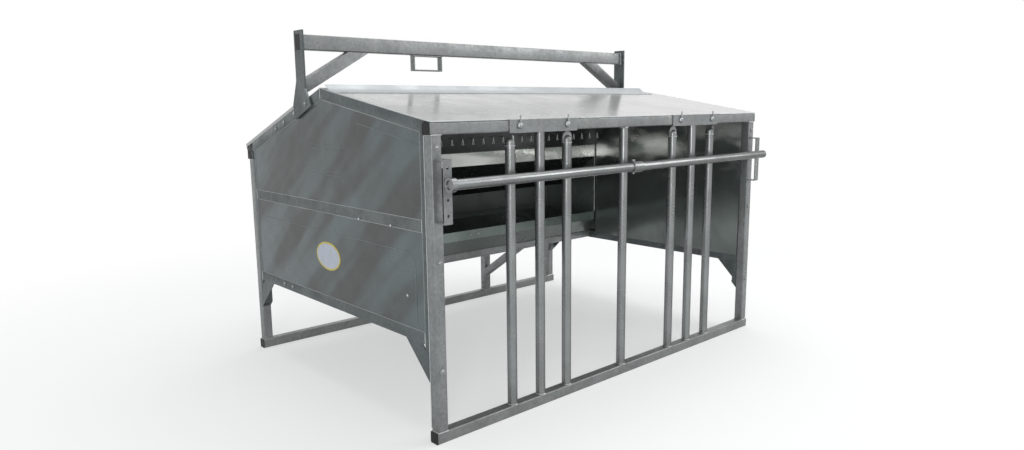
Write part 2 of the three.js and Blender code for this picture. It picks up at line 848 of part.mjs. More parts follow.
function clampBolt() {
  const seat = -gap - angleThickness - gap;
  const profile = [
    [0, -gap],
    [clampBoltRadius, -gap],
    [clampBoltRadius, seat],
    [clampHeadRadius, seat],
    [clampHeadRadius, seat - clampHeadHeight * clampShoulderShare],
    [clampHeadRadius * clampCrownShares.radius, seat - clampHeadHeight * clampCrownShares.height],
    [0, seat - clampHeadHeight],
  ];
  const bolt = new THREE.LatheGeometry(vectors(profile.reverse()), boltSides);
  const half = clampTangWidth / 2;
  const tangY = seat - clampHeadHeight / 2;
  const tang = block(-half, half, tangY - half, tangY + half, 0, clampTangReach);
  return joined(bolt, tang);
}

function gates() {
  for (const [side, sign] of Object.entries({ left: -1, right: 1 })) {
    place(`gate_bar_inner_${side}`, gateBar(false), zincTube, sign * innerBarX, barY);
    place(`gate_bar_outer_${side}`, gateBar(true), zincTube, sign * outerBarX, barY);
    place(`clamp_angle_${side}`, clampAngle(sign), zincTube);
    for (const [where, x] of Object.entries({ inner: clampBoltXs[0], outer: clampBoltXs[1] })) {
      place(`clamp_bolt_${where}_${side}`, clampBolt(), zincFastener, sign * x, 0, frontHeight - tube / 2);
    }
  }
}

// Height bar: a sleeve over an inner tube, pinned through one hole of each strap.
function straps() {
  const path = [
    [-gap, strapBottom],
    [-strapStandoff, strapBottom],
    [-strapStandoff, strapTop],
    [-gap, strapTop],
  ];
  for (const [side, sign] of Object.entries({ left: -1, right: 1 })) {
    const from = sign * strapX - strapWidth / 2;
    const strap = sideView(ribbon([...path].reverse(), strapThickness), from, from + strapWidth);
    const holes = Array.from({ length: strapHoles }, (_, i) => {
      const hole = pipe(barPinRadius + pinFit, 0, strapThickness + 2 * overrun, boltSides);
      return hole.translate(sign * strapX, -strapStandoff - overrun, strapHoleTop - i * strapHolePitch);
    });
    place(`height_strap_${side}`, cut(strap, ...holes), zincTube);
  }
}

const heightTubeRadius = heightTubeDiameter / 2;
const heightBoreRadius = heightTubeRadius - heightTubeWall;
const heightSeatRadius = (heightTubeRadius + heightBoreRadius) / 2;
const sleeveBore = heightTubeRadius + gap;
const sleeveRadius = sleeveBore + couplingWall;

// One half of the bar along X, with its end plug and the pin that goes into a strap.
function heightHalf(from, to, pinX, plugFrom) {
  const reach = heightTubeRadius - heightBarY - strapStandoff + barPinTip + strapThickness;
  const core = pipeAcross(heightTubeRadius, heightBoreRadius, to - from, barSides).translate(from, 0, 0);
  const plug = pipeAcross(heightBoreRadius + gap, 0, endPlugLength, barSides).translate(plugFrom, 0, 0);
  const pin = pipe(barPinRadius, 0, reach, boltSides).translate(pinX, -heightTubeRadius - gap, 0);
  return [core, plug, pin];
}

function leftHeightHalf() {
  const parts = heightHalf(heightBarLeft, heightJointX - gap / 2, -strapX, heightBarLeft + endRecess);
  const ring = pipeAcross(endRingDiameter / 2, heightSeatRadius, endRingLength, barSides);
  const sleeve = joined(
    pipeAcross(sleeveRadius, sleeveBore, couplingLength, barSides).translate(couplingLeft, 0, 0),
    pipeAcross(sleeveRadius, heightSeatRadius, couplingWall, barSides).translate(couplingLeft, 0, 0),
  );
  const lockHole = pipeUp(lockBoltRadius + boltFit, 0, endRingDiameter + overrun, boltSides);
  lockHole.translate(lockBoltX, 0, -(endRingDiameter + overrun) / 2);
  return cut(joined(...parts, ring.translate(heightBarLeft, 0, 0), sleeve), lockHole);
}

function rightHeightHalf() {
  const plugFrom = heightBarRight - endRecess - endPlugLength;
  return joined(...heightHalf(heightJointX + gap / 2, heightBarRight, strapX, plugFrom));
}

function lockBolt() {
  const seat = sleeveRadius + gap;
  const profile = [
    [0, -sleeveRadius - lockTipReach],
    [lockBoltRadius, -sleeveRadius - lockTipReach],
    [lockBoltRadius, seat],
    [lockHeadRadius, seat],
    [lockHeadRadius, seat + lockHeadHeight],
    [0, seat + lockHeadHeight],
  ];
  return new THREE.LatheGeometry(vectors(profile), boltSides).rotateX(Math.PI / 2);
}

function heightBar() {
  place("height_bar_left", leftHeightHalf(), zincTube, 0, heightBarY, heightBarZ);
  place("height_bar_right", rightHeightHalf(), zincTube, 0, heightBarY, heightBarZ);
  place("height_lock_bolt", lockBolt(), zincFastener, lockBoltX, heightBarY, heightBarZ);
}

frontFrame();
rearFrame();
middleLegs();
sideFrames();
roof();
rearRoof();
hopperAndTrough();
liftingFrame();
fixedBars();
gates();
straps();
heightBar();

export default feeder;
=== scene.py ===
# %% [markdown]
# # A calf creep feeder in galvanised steel
#
# A creep feeder lets calves through gaps that cows are too wide for. The real one is welded from
# square tube, closed with thin sheet, and dipped whole in molten zinc. So the scene has three jobs:
# to give the CAD solids their small round edges, to add the folds, welds, bolts and rivets that CAD
# leaves out, and to paint everything with a dipped zinc finish that no two places share.

import json
import math

import bmesh
import bpy
from mathutils import Matrix, Vector


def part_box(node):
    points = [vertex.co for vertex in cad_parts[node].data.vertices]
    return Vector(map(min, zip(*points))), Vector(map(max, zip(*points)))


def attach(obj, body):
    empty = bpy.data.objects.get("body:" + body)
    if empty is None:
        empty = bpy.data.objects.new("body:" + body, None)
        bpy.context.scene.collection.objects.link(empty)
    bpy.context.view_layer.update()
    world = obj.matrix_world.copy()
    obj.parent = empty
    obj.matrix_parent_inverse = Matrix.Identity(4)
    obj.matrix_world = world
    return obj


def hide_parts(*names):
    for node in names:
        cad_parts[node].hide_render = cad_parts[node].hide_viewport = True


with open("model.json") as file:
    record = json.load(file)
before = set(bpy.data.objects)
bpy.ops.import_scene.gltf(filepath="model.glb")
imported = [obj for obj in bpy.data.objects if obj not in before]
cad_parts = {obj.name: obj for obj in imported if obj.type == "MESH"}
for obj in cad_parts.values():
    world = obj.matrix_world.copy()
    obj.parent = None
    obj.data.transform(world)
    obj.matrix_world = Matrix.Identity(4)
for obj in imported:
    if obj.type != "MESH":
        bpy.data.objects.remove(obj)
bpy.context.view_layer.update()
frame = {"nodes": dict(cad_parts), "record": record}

MM = 0.001
FRONT_SHIFT = 837.1
BODIES = frame["record"]["behaviour"]["bodies"]
BODY_OF = {node: body for body, nodes in BODIES.items() for node in nodes}


def at(x, y, z):
    """Millimetres, with Y from the front face of the front frame, as a place in metres."""
    return Vector((x * MM, (y - FRONT_SHIFT) * MM, z * MM))


# %% [markdown]
# ## The eye that took the picture
#
# A pinhole was fitted to the corners of the frame: it stands before the front left corner, a little
# above the roof edge, and looks slightly down. The far end of the front frame is much smaller than
# the near post, so the lens is short, near 26 mm on a 36 mm sensor.

# %% Camera
CAMERA_PLACE = at(-2859.7, -2312.0, 1385.8)
CAMERA_YAW, CAMERA_PITCH, CAMERA_ROLL = -42.03, -9.31, -0.57
LENS_MM, SENSOR_MM = 25.65, 36.0


def aim(place, yaw, pitch, roll):
    """A camera matrix from a place and three angles in degrees."""
    yaw, pitch, roll = (math.radians(a) for a in (yaw, pitch, roll))
    level = math.cos(pitch)
    forward = Vector((-math.sin(yaw) * level, math.cos(yaw) * level, math.sin(pitch)))
    right = forward.cross(Vector((0, 0, 1))).normalized()
    up = right.cross(forward)
    tilted = right * math.cos(roll) + up * math.sin(roll)
    risen = up * math.cos(roll) - right * math.sin(roll)
    turn = Matrix((tilted, risen, -forward)).transposed().to_4x4()
    return Matrix.Translation(place) @ turn


camera_data = bpy.data.cameras.new("camera")
camera_data.lens = LENS_MM
camera_data.sensor_width = SENSOR_MM
camera_data.clip_end = 200
camera = bpy.data.objects.new("camera", camera_data)
camera.matrix_world = aim(CAMERA_PLACE, CAMERA_YAW, CAMERA_PITCH, CAMERA_ROLL)
bpy.context.scene.collection.objects.link(camera)
bpy.context.scene.camera = camera
bpy.context.scene.view_settings.view_transform = "Standard"
print("camera at", [round(v, 3) for v in CAMERA_PLACE], "with a lens of", LENS_MM, "mm")

# %% [markdown]
# ## Node trees in fewer words
#
# A shader or a Geometry Nodes tree is only nodes and links. A thin wrapper makes both in one call,
# so that each cell below reads like the recipe that it is.

# %% Node helpers


class Tree:
    """Makes nodes and links in one call. An input is a plain value or another node's output."""

    def __init__(self, tree):
        self.tree = tree

    def put(self, value, socket):
        if isinstance(value, bpy.types.NodeSocket):
            self.tree.links.new(value, socket)
        else:
            socket.default_value = value

    def add(self, kind, at_inputs=None, **settings):
        node = self.tree.nodes.new(kind)
        for key, value in settings.items():
            setattr(node, key, value)
        for key, value in (at_inputs or {}).items():
            self.put(value, node.inputs[key])
        return node

    def out(self, kind, at_inputs=None, **settings):
        """A new node's first output."""
        return self.add(kind, at_inputs, **settings).outputs[0]

    def math(self, operation, a, b, clamp=False):
        return self.out("ShaderNodeMath", {0: a, 1: b}, operation=operation, use_clamp=clamp)

    def times(self, a, b, clamp=False):
        return self.math("MULTIPLY", a, b, clamp)

    def plus(self, a, b):
        return self.math("ADD", a, b)

    def vector(self, operation, a, b):
        return self.out("ShaderNodeVectorMath", {0: a, 1: b}, operation=operation)

    def axis(self, place, letter):
        return self.add("ShaderNodeSeparateXYZ", {0: place}).outputs[letter]

    def spread(self, value, low, high, to_low=0.0, to_high=1.0):
        """A smooth step from low to high."""
        sizes = {"Value": value, "From Min": low, "From Max": high, "To Min": to_low, "To Max": to_high}
        return self.out("ShaderNodeMapRange", sizes, interpolation_type="SMOOTHSTEP")

    def mix(self, factor, a, b):
        return self.add("ShaderNodeMix", {0: factor, 6: a, 7: b}, data_type="RGBA").outputs[2]

    def noise(self, place, scale, detail=2.0, rough=0.5):
        sizes = {"Vector": place, "Scale": scale, "Detail": detail, "Roughness": rough}
        return self.out("ShaderNodeTexNoise", sizes)


def new_group(kind, name, inputs, outputs):
    """A node group with named sockets. A socket is a name and a type, an input also a start value."""
    group = bpy.data.node_groups.new(name, kind)
    for label, socket_kind, value in inputs:
        socket = group.interface.new_socket(label, in_out="INPUT", socket_type="NodeSocket" + socket_kind)
        if value is not None:
            socket.default_value = value
    for label, socket_kind in outputs:
        group.interface.new_socket(label, in_out="OUTPUT", socket_type="NodeSocket" + socket_kind)
    tree = Tree(group)
    entry = group.nodes.new("NodeGroupInput").outputs
    leave = group.nodes.new("NodeGroupOutput").inputs
    return group, tree, entry, leave


def mask_group(name, inputs, masks):
    """A shader group that puts out masks."""
    return new_group("ShaderNodeTree", name, inputs, [(mask, "Float") for mask in masks])


def use_group(tree, group, at_inputs):
    return tree.add("ShaderNodeGroup", at_inputs, node_tree=group).outputs


def new_material(name):
    """A material with its tree, its Principled shader and the Object coordinates."""
    material = bpy.data.materials.new(name)
    material.use_nodes = True
    tree = Tree(material.node_tree)
    place = tree.add("ShaderNodeTexCoord").outputs["Object"]
    return material, tree, material.node_tree.nodes["Principled BSDF"], place


# %% [markdown]
# ## A finish in parts
#
# Molten zinc freezes in crystals, so a dipped tube is mottled at the size of a fingertip, and the
# mottle is a change of grey and of sheen together. Cells of a Voronoi pattern stand for the
# crystals and a slow noise for the thickness of the coat. The cells are warped a little, because
# real crystals run into each other. The group gives only masks and a height, so each material
# decides what they do.

# %% Spangle group
WARP, WARP_SCALE = (0.009, 0.009, 0.009), 30.0
FINE_SCALE, FINE_SHARE, COAT_SHARE = 320.0, 0.4, 2.5
SPANGLE_SIZES = [
    ("Place", "Vector", None),
    ("Grain Scale", "Float", 90.0),
    ("Coat Scale", "Float", 6.0),
    ("Seed", "Vector", None),
]
spangle, tree, entry, leave = mask_group("zinc_spangle", SPANGLE_SIZES, ("Mottle", "Coat", "Relief"))
seeded = tree.vector("ADD", entry["Place"], entry["Seed"])
sizes = {"Vector": seeded, "Scale": WARP_SCALE, "Detail": 1.0}
warp = tree.add("ShaderNodeTexNoise", sizes).outputs["Color"]
warped = tree.vector("ADD", seeded, tree.vector("MULTIPLY", warp, WARP))
sizes = {"Vector": warped, "Scale": entry["Grain Scale"]}
cells = tree.add("ShaderNodeTexVoronoi", sizes, feature="F1").outputs["Color"]
tree.put(tree.out("ShaderNodeSeparateColor", {"Color": cells}), leave["Mottle"])
coat = tree.noise(seeded, entry["Coat Scale"], 4.0)
tree.put(tree.spread(coat, 0.3, 0.7), leave["Coat"])
fine = tree.times(tree.noise(seeded, FINE_SCALE, 1.0), FINE_SHARE)
tree.put(tree.plus(fine, tree.times(coat, COAT_SHARE)), leave["Relief"])
print("spangle group:", len(spangle.nodes), "nodes")

# %% [markdown]
# ### Sheet waves, painted as light and shade
#
# Thin sheet pulls out of flat when it is dipped and cooled. In the photograph the side panels show
# it as soft light and dark bands that climb towards the front, a hand to a forearm wide. Those bands
# are light and shade on the buckled sheet, and a noise that is stretched along that slope paints them
# into the colour, as painted shade and painted reflection.

# %% Sheet wave group
WAVE_SIZES = [
    ("Place", "Vector", None),
    ("Band Scale", "Float", 5.0),
    ("Tilt", "Float", 0.7),
    ("Seed", "Vector", None),
]
waves, tree, entry, leave = mask_group("sheet_wave_shading", WAVE_SIZES, ("Band",))
seeded = tree.vector("ADD", entry["Place"], entry["Seed"])
slope = {"Vector": seeded, "Angle": entry["Tilt"]}
turned = tree.out("ShaderNodeVectorRotate", slope, rotation_type="X_AXIS")
stretched = tree.vector("MULTIPLY", turned, (1.0, 0.16, 1.0))
# painted shade and painted reflection: the light and dark bands of a buckled sheet
tree.put(tree.spread(tree.noise(stretched, entry["Band Scale"], 2.0), 0.36, 0.64), leave["Band"])
print("sheet wave group:", len(waves.nodes), "nodes")

# %% [markdown]
# ### Rub, grime and underside shade
#
# Edges lose their mottle first: hands, hooves and straps polish them. The bevelled faces carry an
# attribute that marks them, and the group breaks it up. Dust does the opposite: it settles on faces
# that look up, mud splashes up from the ground, and rain pulls both into faint streaks. Faces that
# look down get a mask of their own, which paints shade under them, where they face the ground.

# %% Rub, grime and underside shade groups
RUB_SIZES = [("Edge", "Float", 0.0), ("Place", "Vector", None), ("Amount", "Float", 1.0)]
rub, tree, entry, leave = mask_group("edge_rub", RUB_SIZES, ("Rub",))
broken = tree.spread(tree.noise(entry["Place"], 34.0, 2.0), 0.35, 0.6)
kept = tree.times(entry["Edge"], broken)
tree.put(tree.times(kept, entry["Amount"], clamp=True), leave["Rub"])

GRIME_SIZES = [
    ("Place", "Vector", None),
    ("Normal", "Vector", None),
    ("Seed", "Vector", None),
    ("Splash Height", "Float", 0.22),
]
grime_and_shade, tree, entry, leave = mask_group("grime_and_underside_shade", GRIME_SIZES, ("Low", "Upward", "Under Shade", "Drip"))
seeded = tree.vector("ADD", entry["Place"], entry["Seed"])
upward = tree.axis(entry["Normal"], "Z")
patch = tree.noise(seeded, 14.0, 3.0, 0.6)
height = tree.math("DIVIDE", tree.axis(entry["Place"], "Z"), entry["Splash Height"])
near = tree.spread(height, 1.0, 0.0)
low = tree.times(near, tree.spread(patch, 0.35, 0.65), clamp=True)
drip = tree.noise(tree.vector("MULTIPLY", seeded, (36.0, 36.0, 2.0)), 1.0, 2.0)
tree.put(low, leave["Low"])
tree.put(tree.times(tree.spread(upward, 0.4, 0.95), patch, clamp=True), leave["Upward"])
# painted shade: a mask that grows as a face looks down
tree.put(tree.spread(upward, 0.1, -0.9), leave["Under Shade"])
tree.put(tree.spread(drip, 0.55, 0.75), leave["Drip"])
print("rub and grime groups:", len(rub.nodes), "and", len(grime_and_shade.nodes), "nodes")

# %% [markdown]
# ## Zinc, seen several ways
#
# The same metal is on everything, but it freezes differently. Tube is thick and cools slowly, so
# its mottle is coarse and matt. Sheet is thin and cools at once, so it stays smoother and mirrors
# more. Bolts are spun after the dip, which leaves them fine and bright. The greys also differ from
# face to face as painted light: the side rails and side sheets, whose left faces are in shade, get
# the darkest greys as painted shade, the hopper inside gets a dark grey as painted shade, and the
# roof, which faces the sky, gets the palest greys as painted light.

# %% Greys and bright places
PLAIN_TINT = (0.955, 1.0, 1.0)
DUST = (0.40, 0.39, 0.36, 1.0)
SPLASH = (0.16, 0.145, 0.12, 1.0)
# the flat strip across the hopper front: its edges in Z, how soft they are, its ends in X, and its painted
# reflection of the sky, dim at the left and pale at the right
STRIP_LOW, STRIP_HIGH, STRIP_SOFT = 1016.0, 1100.0, 4.0
STRIP_LEFT, STRIP_RIGHT, STRIP_DIM = -1.3, 0.8, 0.35
STRIP_REFLECTION_WHITE, STRIP_TINT = 0.92, (0.98, 1.0, 0.96)
# the painted reflection (gleam) on the linings: where it starts and is full in Z, and how pale it is
GLEAM_LOW, GLEAM_HIGH, GLEAM_REFLECTION_WHITE, GLEAM_TINT = 0.86, 1.08, 0.80, (1.0, 1.0, 0.97)
SWIRL_SHAPE, SWIRL_SCALE = (1.0, 1.0, 2.4), 2.6


def grey(value, tint=PLAIN_TINT):
    return (value * tint[0], value * tint[1], value * tint[2], 1.0)


def strip_reflection_mask(tree, place, amount):
    """The flat strip across the hopper front, with a painted reflection of the sky that grows brighter
    towards the right.
    """
    height = tree.axis(place, "Z")
    above = tree.spread(height, STRIP_LOW * MM, (STRIP_LOW + STRIP_SOFT) * MM)
    below = tree.spread(height, (STRIP_HIGH + STRIP_SOFT) * MM, STRIP_HIGH * MM)
    along = tree.spread(tree.axis(place, "X"), STRIP_LEFT, STRIP_RIGHT, STRIP_DIM, amount)
    return tree.times(tree.times(above, below), along)


def painted_reflection_mask(tree, place, amount):
    """Painted reflection: pale swirls high up on a lining, as a smooth sheet mirrors the open front beside
    it.
    """
    swirl = tree.noise(tree.vector("MULTIPLY", place, SWIRL_SHAPE), SWIRL_SCALE, 4.0, 0.45)
    high_up = tree.spread(tree.axis(place, "Z"), GLEAM_LOW, GLEAM_HIGH, 0.0, amount)
    return tree.times(tree.spread(swirl, 0.46, 0.62), high_up)


# %% [markdown]
# ### One recipe for every zinc
#
# Each finish starts from two greys, and a share between 0 and 1 mixes them. The share comes from
# the crystals, the coat and, on sheet, the waves, whose bands are painted shade and painted
# reflection. Painted reflections on the linings and the hopper strip, dust, splash, rub, painted
# shade under faces that look down and painted shade on the rim of round bars are laid over it, one
# mask at a time. The same share also sets the sheen, so that a pale crystal is a smoother one.

# %% Zinc recipe
BUMP_STRENGTH, BUMP_DEPTH, RUBBED_MOST = 0.4, 0.0006, 0.75


def zinc_share(tree, look, place, seed, spots):
    """How light the zinc is, from 0 to 1: its mottle, its coat and, as painted shade and painted
    reflection, the bands of its waves.
    """
    share = tree.times(spots["Mottle"], look["mottle"])
    share = tree.plus(share, tree.times(spots["Coat"], 1.0 - look["mottle"]))
    if look["bands"]:
        sizes = {"Place": place, "Band Scale": look["band_scale"], "Tilt": look["tilt"], "Seed": seed}
        wave = use_group(tree, waves, sizes)
        kept = tree.times(share, 1.0 - look["bands"])
        share = tree.plus(kept, tree.times(wave["Band"], look["bands"]))
    return share


def zinc_colour(tree, look, place, share, dirt_and_shade, dark, light):
    """The two greys, with the painted reflections, dust, splash, rub, the painted underside shade and the
    painted rim shade laid over them.
    """
    edge = tree.add("ShaderNodeAttribute", attribute_name="rub").outputs["Fac"]
    worn = use_group(tree, rub, {"Edge": edge, "Place": place, "Amount": 0.6})
    low, high = grey(dark, look["tint"]), grey(light, look["light_tint"] or look["tint"])
    colour = tree.mix(share, low, high)
    # painted reflection of the open front, high on the linings
    if look["gleam"]:
        mask = painted_reflection_mask(tree, place, look["gleam"])
        colour = tree.mix(mask, colour, grey(GLEAM_REFLECTION_WHITE, GLEAM_TINT))
    # painted reflection of the sky on the flat strip of the hopper front
    if look["strip"]:
        mask = strip_reflection_mask(tree, place, look["strip"])
        colour = tree.mix(mask, colour, grey(STRIP_REFLECTION_WHITE, STRIP_TINT))
    colour = tree.mix(tree.times(dirt_and_shade["Drip"], look["drip"]), colour, DUST)
    colour = tree.mix(tree.times(dirt_and_shade["Upward"], look["dust"]), colour, DUST)
    colour = tree.mix(tree.times(dirt_and_shade["Low"], look["dust"]), colour, SPLASH)
    colour = tree.mix(worn["Rub"], colour, grey(min(RUBBED_MOST, light * 1.9)))
    # painted shade: faces that look down are darkened
    under = tree.times(dirt_and_shade["Under Shade"], look["under"])
    colour = tree.mix(under, colour, grey(dark * 0.3))
    # painted shade: the rim of round bars and bolts is darkened, like the shaded sides of a cylinder
    if look["edge_dark"]:
        rim = tree.add("ShaderNodeLayerWeight", {"Blend": 0.5}).outputs["Facing"]
        rim = tree.times(tree.spread(rim, 0.12, 0.85), look["edge_dark"])
        colour = tree.mix(rim, colour, grey(dark * 0.25))
    return colour


def zinc(name, dark, light, metal, rough, **more):
    """A zinc finish: the two greys of the mottle, how metallic, how rough, and what is special."""
    look = {"grain": 80.0, "bands": 0.0, "band_scale": 5.0, "tilt": 0.7, "bump": 1.0, "seed": 0.0}
    look.update({"dust": 0.25, "drip": 0.1, "mottle": 0.5, "tint": PLAIN_TINT, "swing": 0.07})
    look.update({"under": 0.45, "edge_dark": 0.0, "light_tint": None, "gleam": 0.0, "strip": 0.0})
    look.update(more)
    material, tree, shader, place = new_material(f"zinc_{name}_finish")
    normal = tree.add("ShaderNodeNewGeometry").outputs["Normal"]
    seed = tuple(look["seed"] * step for step in (1.7, 2.3, 3.1))
    spots = use_group(tree, spangle, {"Place": place, "Grain Scale": look["grain"], "Seed": seed})
    dirt_and_shade = use_group(tree, grime_and_shade, {"Place": place, "Normal": normal, "Seed": seed})
    share = zinc_share(tree, look, place, seed, spots)
    tree.put(zinc_colour(tree, look, place, share, dirt_and_shade, dark, light), shader.inputs["Base Color"])
    sheen = tree.spread(share, 0.0, 1.0, rough + look["swing"], rough - look["swing"])
    sheen = tree.plus(sheen, tree.times(dirt_and_shade["Upward"], 0.12))
    tree.put(sheen, shader.inputs["Roughness"])
    shader.inputs["Metallic"].default_value = metal
    strength = BUMP_STRENGTH * look["bump"]
    sizes = {"Height": spots["Relief"], "Strength": strength, "Distance": BUMP_DEPTH}
    tree.put(tree.out("ShaderNodeBump", sizes), shader.inputs["Normal"])
    return material


# %% Zinc on tube and bar
tube_zinc = zinc("tube", 0.17, 0.27, 0.55, 0.36, grain=75.0, drip=0.15, bump=0.5)
# the bars get painted shade on their rims and on the faces that look down
bar_zinc = zinc(
    "bar", 0.22, 0.31, 0.65, 0.25,
    grain=120.0, mottle=0.2, bump=0.05, edge_dark=0.95, under=0.9, seed=3.0,
)
# darker greys than the tube: painted shade on the side frames, whose faces look sideways
shaded_rail_zinc = zinc(
    "rail", 0.074, 0.128, 0.5, 0.36,
    grain=75.0, mottle=0.4, tint=(0.86, 1.0, 1.02), seed=6.0, bump=0.4,
)
print("zinc on tube and bar: 3 finishes")

# %% Zinc on sheet outside
# the darkest sheet greys: painted shade on the side sheets, with painted bands of light and shade
shaded_side_zinc = zinc(
    "side", 0.076, 0.148, 0.45, 0.34,
    bands=0.72, band_scale=6.5, tilt=0.67, mottle=0.3, seed=5.0, tint=(0.96, 0.98, 0.94),
    light_tint=(0.80, 1.0, 1.03), dust=0.1, drip=0.03, bump=0.4,
)
# the palest greys: painted light on the roof, which faces the sky, with painted bands of light and shade
lit_roof_zinc = zinc(
    "roof", 0.38, 0.43, 0.3, 0.12,
    tint=(1.0, 1.0, 0.985), bands=0.5, band_scale=1.6, tilt=0.1, mottle=0.1, bump=0.03, seed=7.0,
    dust=0.08, drip=0.05, swing=0.03,
)
flashing_zinc = zinc(
    "flashing", 0.36, 0.44, 0.4, 0.42,
    tint=(0.95, 1.0, 1.03), mottle=0.15, bump=0.2, seed=8.0, dust=0.1,
)
back_zinc = zinc(
    "back", 0.16, 0.27, 0.5, 0.34,
    tint=(0.93, 1.0, 0.99), bands=0.6, band_scale=3.0, mottle=0.3, bump=0.3, seed=12.0, dust=0.15,
)
press_zinc = zinc(
    "press", 0.12, 0.19, 0.5, 0.34,
    tint=(0.84, 1.0, 1.02), mottle=0.3, bump=0.2, under=0.25, seed=5.0,
)
print("zinc on sheet outside: 5 finishes")

# %% Zinc on sheet inside
CALM, WAVY = {"mottle": 0.15, "dust": 0.1}, {"bands": 0.7, "band_scale": 2.2, "seed": 9.0}
# the linings carry a painted reflection of the open front, high up
lining_zinc = zinc(
    "lining", 0.12, 0.21, 0.68, 0.21, tint=(0.88, 1.0, 0.95), bump=0.1, gleam=1.0, **CALM, **WAVY
)
inner_zinc = zinc(
    "inner", 0.18, 0.31, 0.6, 0.26, tint=(0.84, 1.0, 0.94), bump=0.05, under=0.9, **CALM, **WAVY
)
# a dark grey: painted shade inside the hopper
shaded_hopper_zinc = zinc(
    "hopper", 0.075, 0.14, 0.6, 0.24,
    # the strip share paints a reflection of the sky on the hopper front
    tint=(0.90, 1.0, 0.93), bump=0.05, seed=10.0, under=0.95, strip=1.0, **CALM,
)
print("zinc on sheet inside: 3 finishes")

# %% Zinc on small things
# the bolts get painted shade on their rims
BOLT_LOOK = {"grain": 260.0, "bump": 0.3, "edge_dark": 0.5, "seed": 11.0}
SEAM_LOOK = {"grain": 300.0, "bump": 0.3, "under": 0.2, "seed": 14.0}
BEAD_LOOK = {"grain": 300.0, "bump": 0.4, "under": 0.2, "seed": 13.0}
bolt_zinc = zinc("bolt", 0.26, 0.40, 0.8, 0.32, **BOLT_LOOK)
# seams and beads are paler than the tube and the sheets, partly as painted highlight along joints that
# catch the light
seam_zinc = zinc("seam", 0.22, 0.38, 0.6, 0.36, **SEAM_LOOK)
bead_zinc = zinc("bead", 0.42, 0.60, 0.6, 0.34, **BEAD_LOOK)
print("zinc on small things: 3 finishes")

# %% [markdown]
# ## Black caps
#
# Plugs of injected polyethylene close the tube ends. The plastic is matt with a fine grain from the
# mould, and it is the only dark thing here that isn't zinc.

# %% Cap material
BLACK, SCUFFED = (0.008, 0.008, 0.009, 1), (0.022, 0.022, 0.023, 1)
cap_black, tree, shader, place = new_material("cap_black_finish")
scuff = tree.noise(place, 45.0, 4.0)
tree.put(tree.mix(tree.spread(scuff, 0.5, 0.75), BLACK, SCUFFED), shader.inputs["Base Color"])
tree.put(tree.spread(scuff, 0.4, 0.7, 0.42, 0.62), shader.inputs["Roughness"])
shader.inputs["Specular IOR Level"].default_value = 0.25
sizes = {"Height": tree.noise(place, 900.0, 1.0), "Strength": 0.2, "Distance": 0.0002}
tree.put(tree.out("ShaderNodeBump", sizes), shader.inputs["Normal"])
print("cap material:", len(tree.tree.nodes), "nodes")

# %% [markdown]
# ## Dressing the CAD solids
#
# A CAD solid has knife edges, and no real edge is one. Each solid is copied, its split corners are
# merged, flat faces are joined again, and a small bevel runs along what is left. The bevel catches
# the thin light line that makes a tube read as metal. The modifier puts its new faces in a second
# material slot, and that slot is then turned into the attribute that the rub group reads.

# %% Mesh helpers
SHARP = math.radians(32)
FLAT = math.radians(0.6)


def mesh_of(work, name):
    mesh = bpy.data.meshes.new(name)
    work.to_mesh(mesh)
    work.free()
    return mesh


def smooth(mesh):
    mesh.shade_smooth()
    mesh.set_sharp_from_angle(angle=SHARP)


def around(steps):
    return [2 * math.pi * i / steps for i in range(steps)]


def prism(rings, name):
    """Two rings of places as a closed solid."""
    work = bmesh.new()
    near, far = ([work.verts.new(place) for place in ring] for ring in rings)
    work.faces.new(near)
    work.faces.new(far[::-1])
    for i in range(len(near)):
        j = (i + 1) % len(near)
        work.faces.new((near[i], far[i], far[j], near[j]))
    bmesh.ops.recalc_face_normals(work, faces=work.faces)
    return mesh_of(work, name)


def clean_copy(node):
    """The CAD mesh as one welded body with flat faces joined."""
    work = bmesh.new()
    work.from_mesh(frame["nodes"][node].data)
    bmesh.ops.remove_doubles(work, verts=work.verts, dist=1e-5)
    bmesh.ops.dissolve_limit(work, angle_limit=FLAT, verts=work.verts, edges=work.edges)
    return mesh_of(work, node + "_finished")


def wire(name, points, edges=()):
    """Loose points and edges for a Geometry Nodes tree to read."""
    mesh = bpy.data.meshes.new(name)
    mesh.from_pydata(points, edges, [])
    return mesh


def settle(piece):
    """The piece's modifiers become its mesh."""
    graph = bpy.context.evaluated_depsgraph_get()
    mesh = bpy.data.meshes.new_from_object(piece.evaluated_get(graph), depsgraph=graph)
    old = piece.data
    piece.modifiers.clear()
    piece.data = mesh
    bpy.data.meshes.remove(old)
    mesh.name = piece.name


def mark_rub(mesh):
    """Faces in the second slot are marked for the rub group, and the slot is given up."""
    marks = [float(face.material_index) for face in mesh.polygons]
    mesh.attributes.new("rub", "FLOAT", "FACE").data.foreach_set("value", marks)
    mesh.polygons.foreach_set("material_index", [0] * len(mesh.polygons))


def hand_over(piece, material, body="frame", replaced=()):
    """The piece gets its finish and its body, and the CAD nodes that it replaces are hidden."""
    piece.data.materials.clear()
    piece.data.materials.append(material)
    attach(piece, body)
    if replaced:
        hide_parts(*replaced)


def new_piece(name, mesh):
    piece = bpy.data.objects.new(name, mesh)
    bpy.context.scene.collection.objects.link(piece)
    return piece


def round_edges(piece, width):
    """A small bevel on every sharp edge, marked for the rub group."""
    piece.data.materials.clear()
    piece.data.materials.append(None)
    piece.data.materials.append(None)
    smooth(piece.data)
    bevel = piece.modifiers.new("edge", "BEVEL")
    bevel.width = width * MM
    bevel.segments = 2
    bevel.limit_method = "ANGLE"
    bevel.angle_limit = SHARP
    bevel.material = 1
    bevel.harden_normals = True
    settle(piece)
    mark_rub(piece.data)


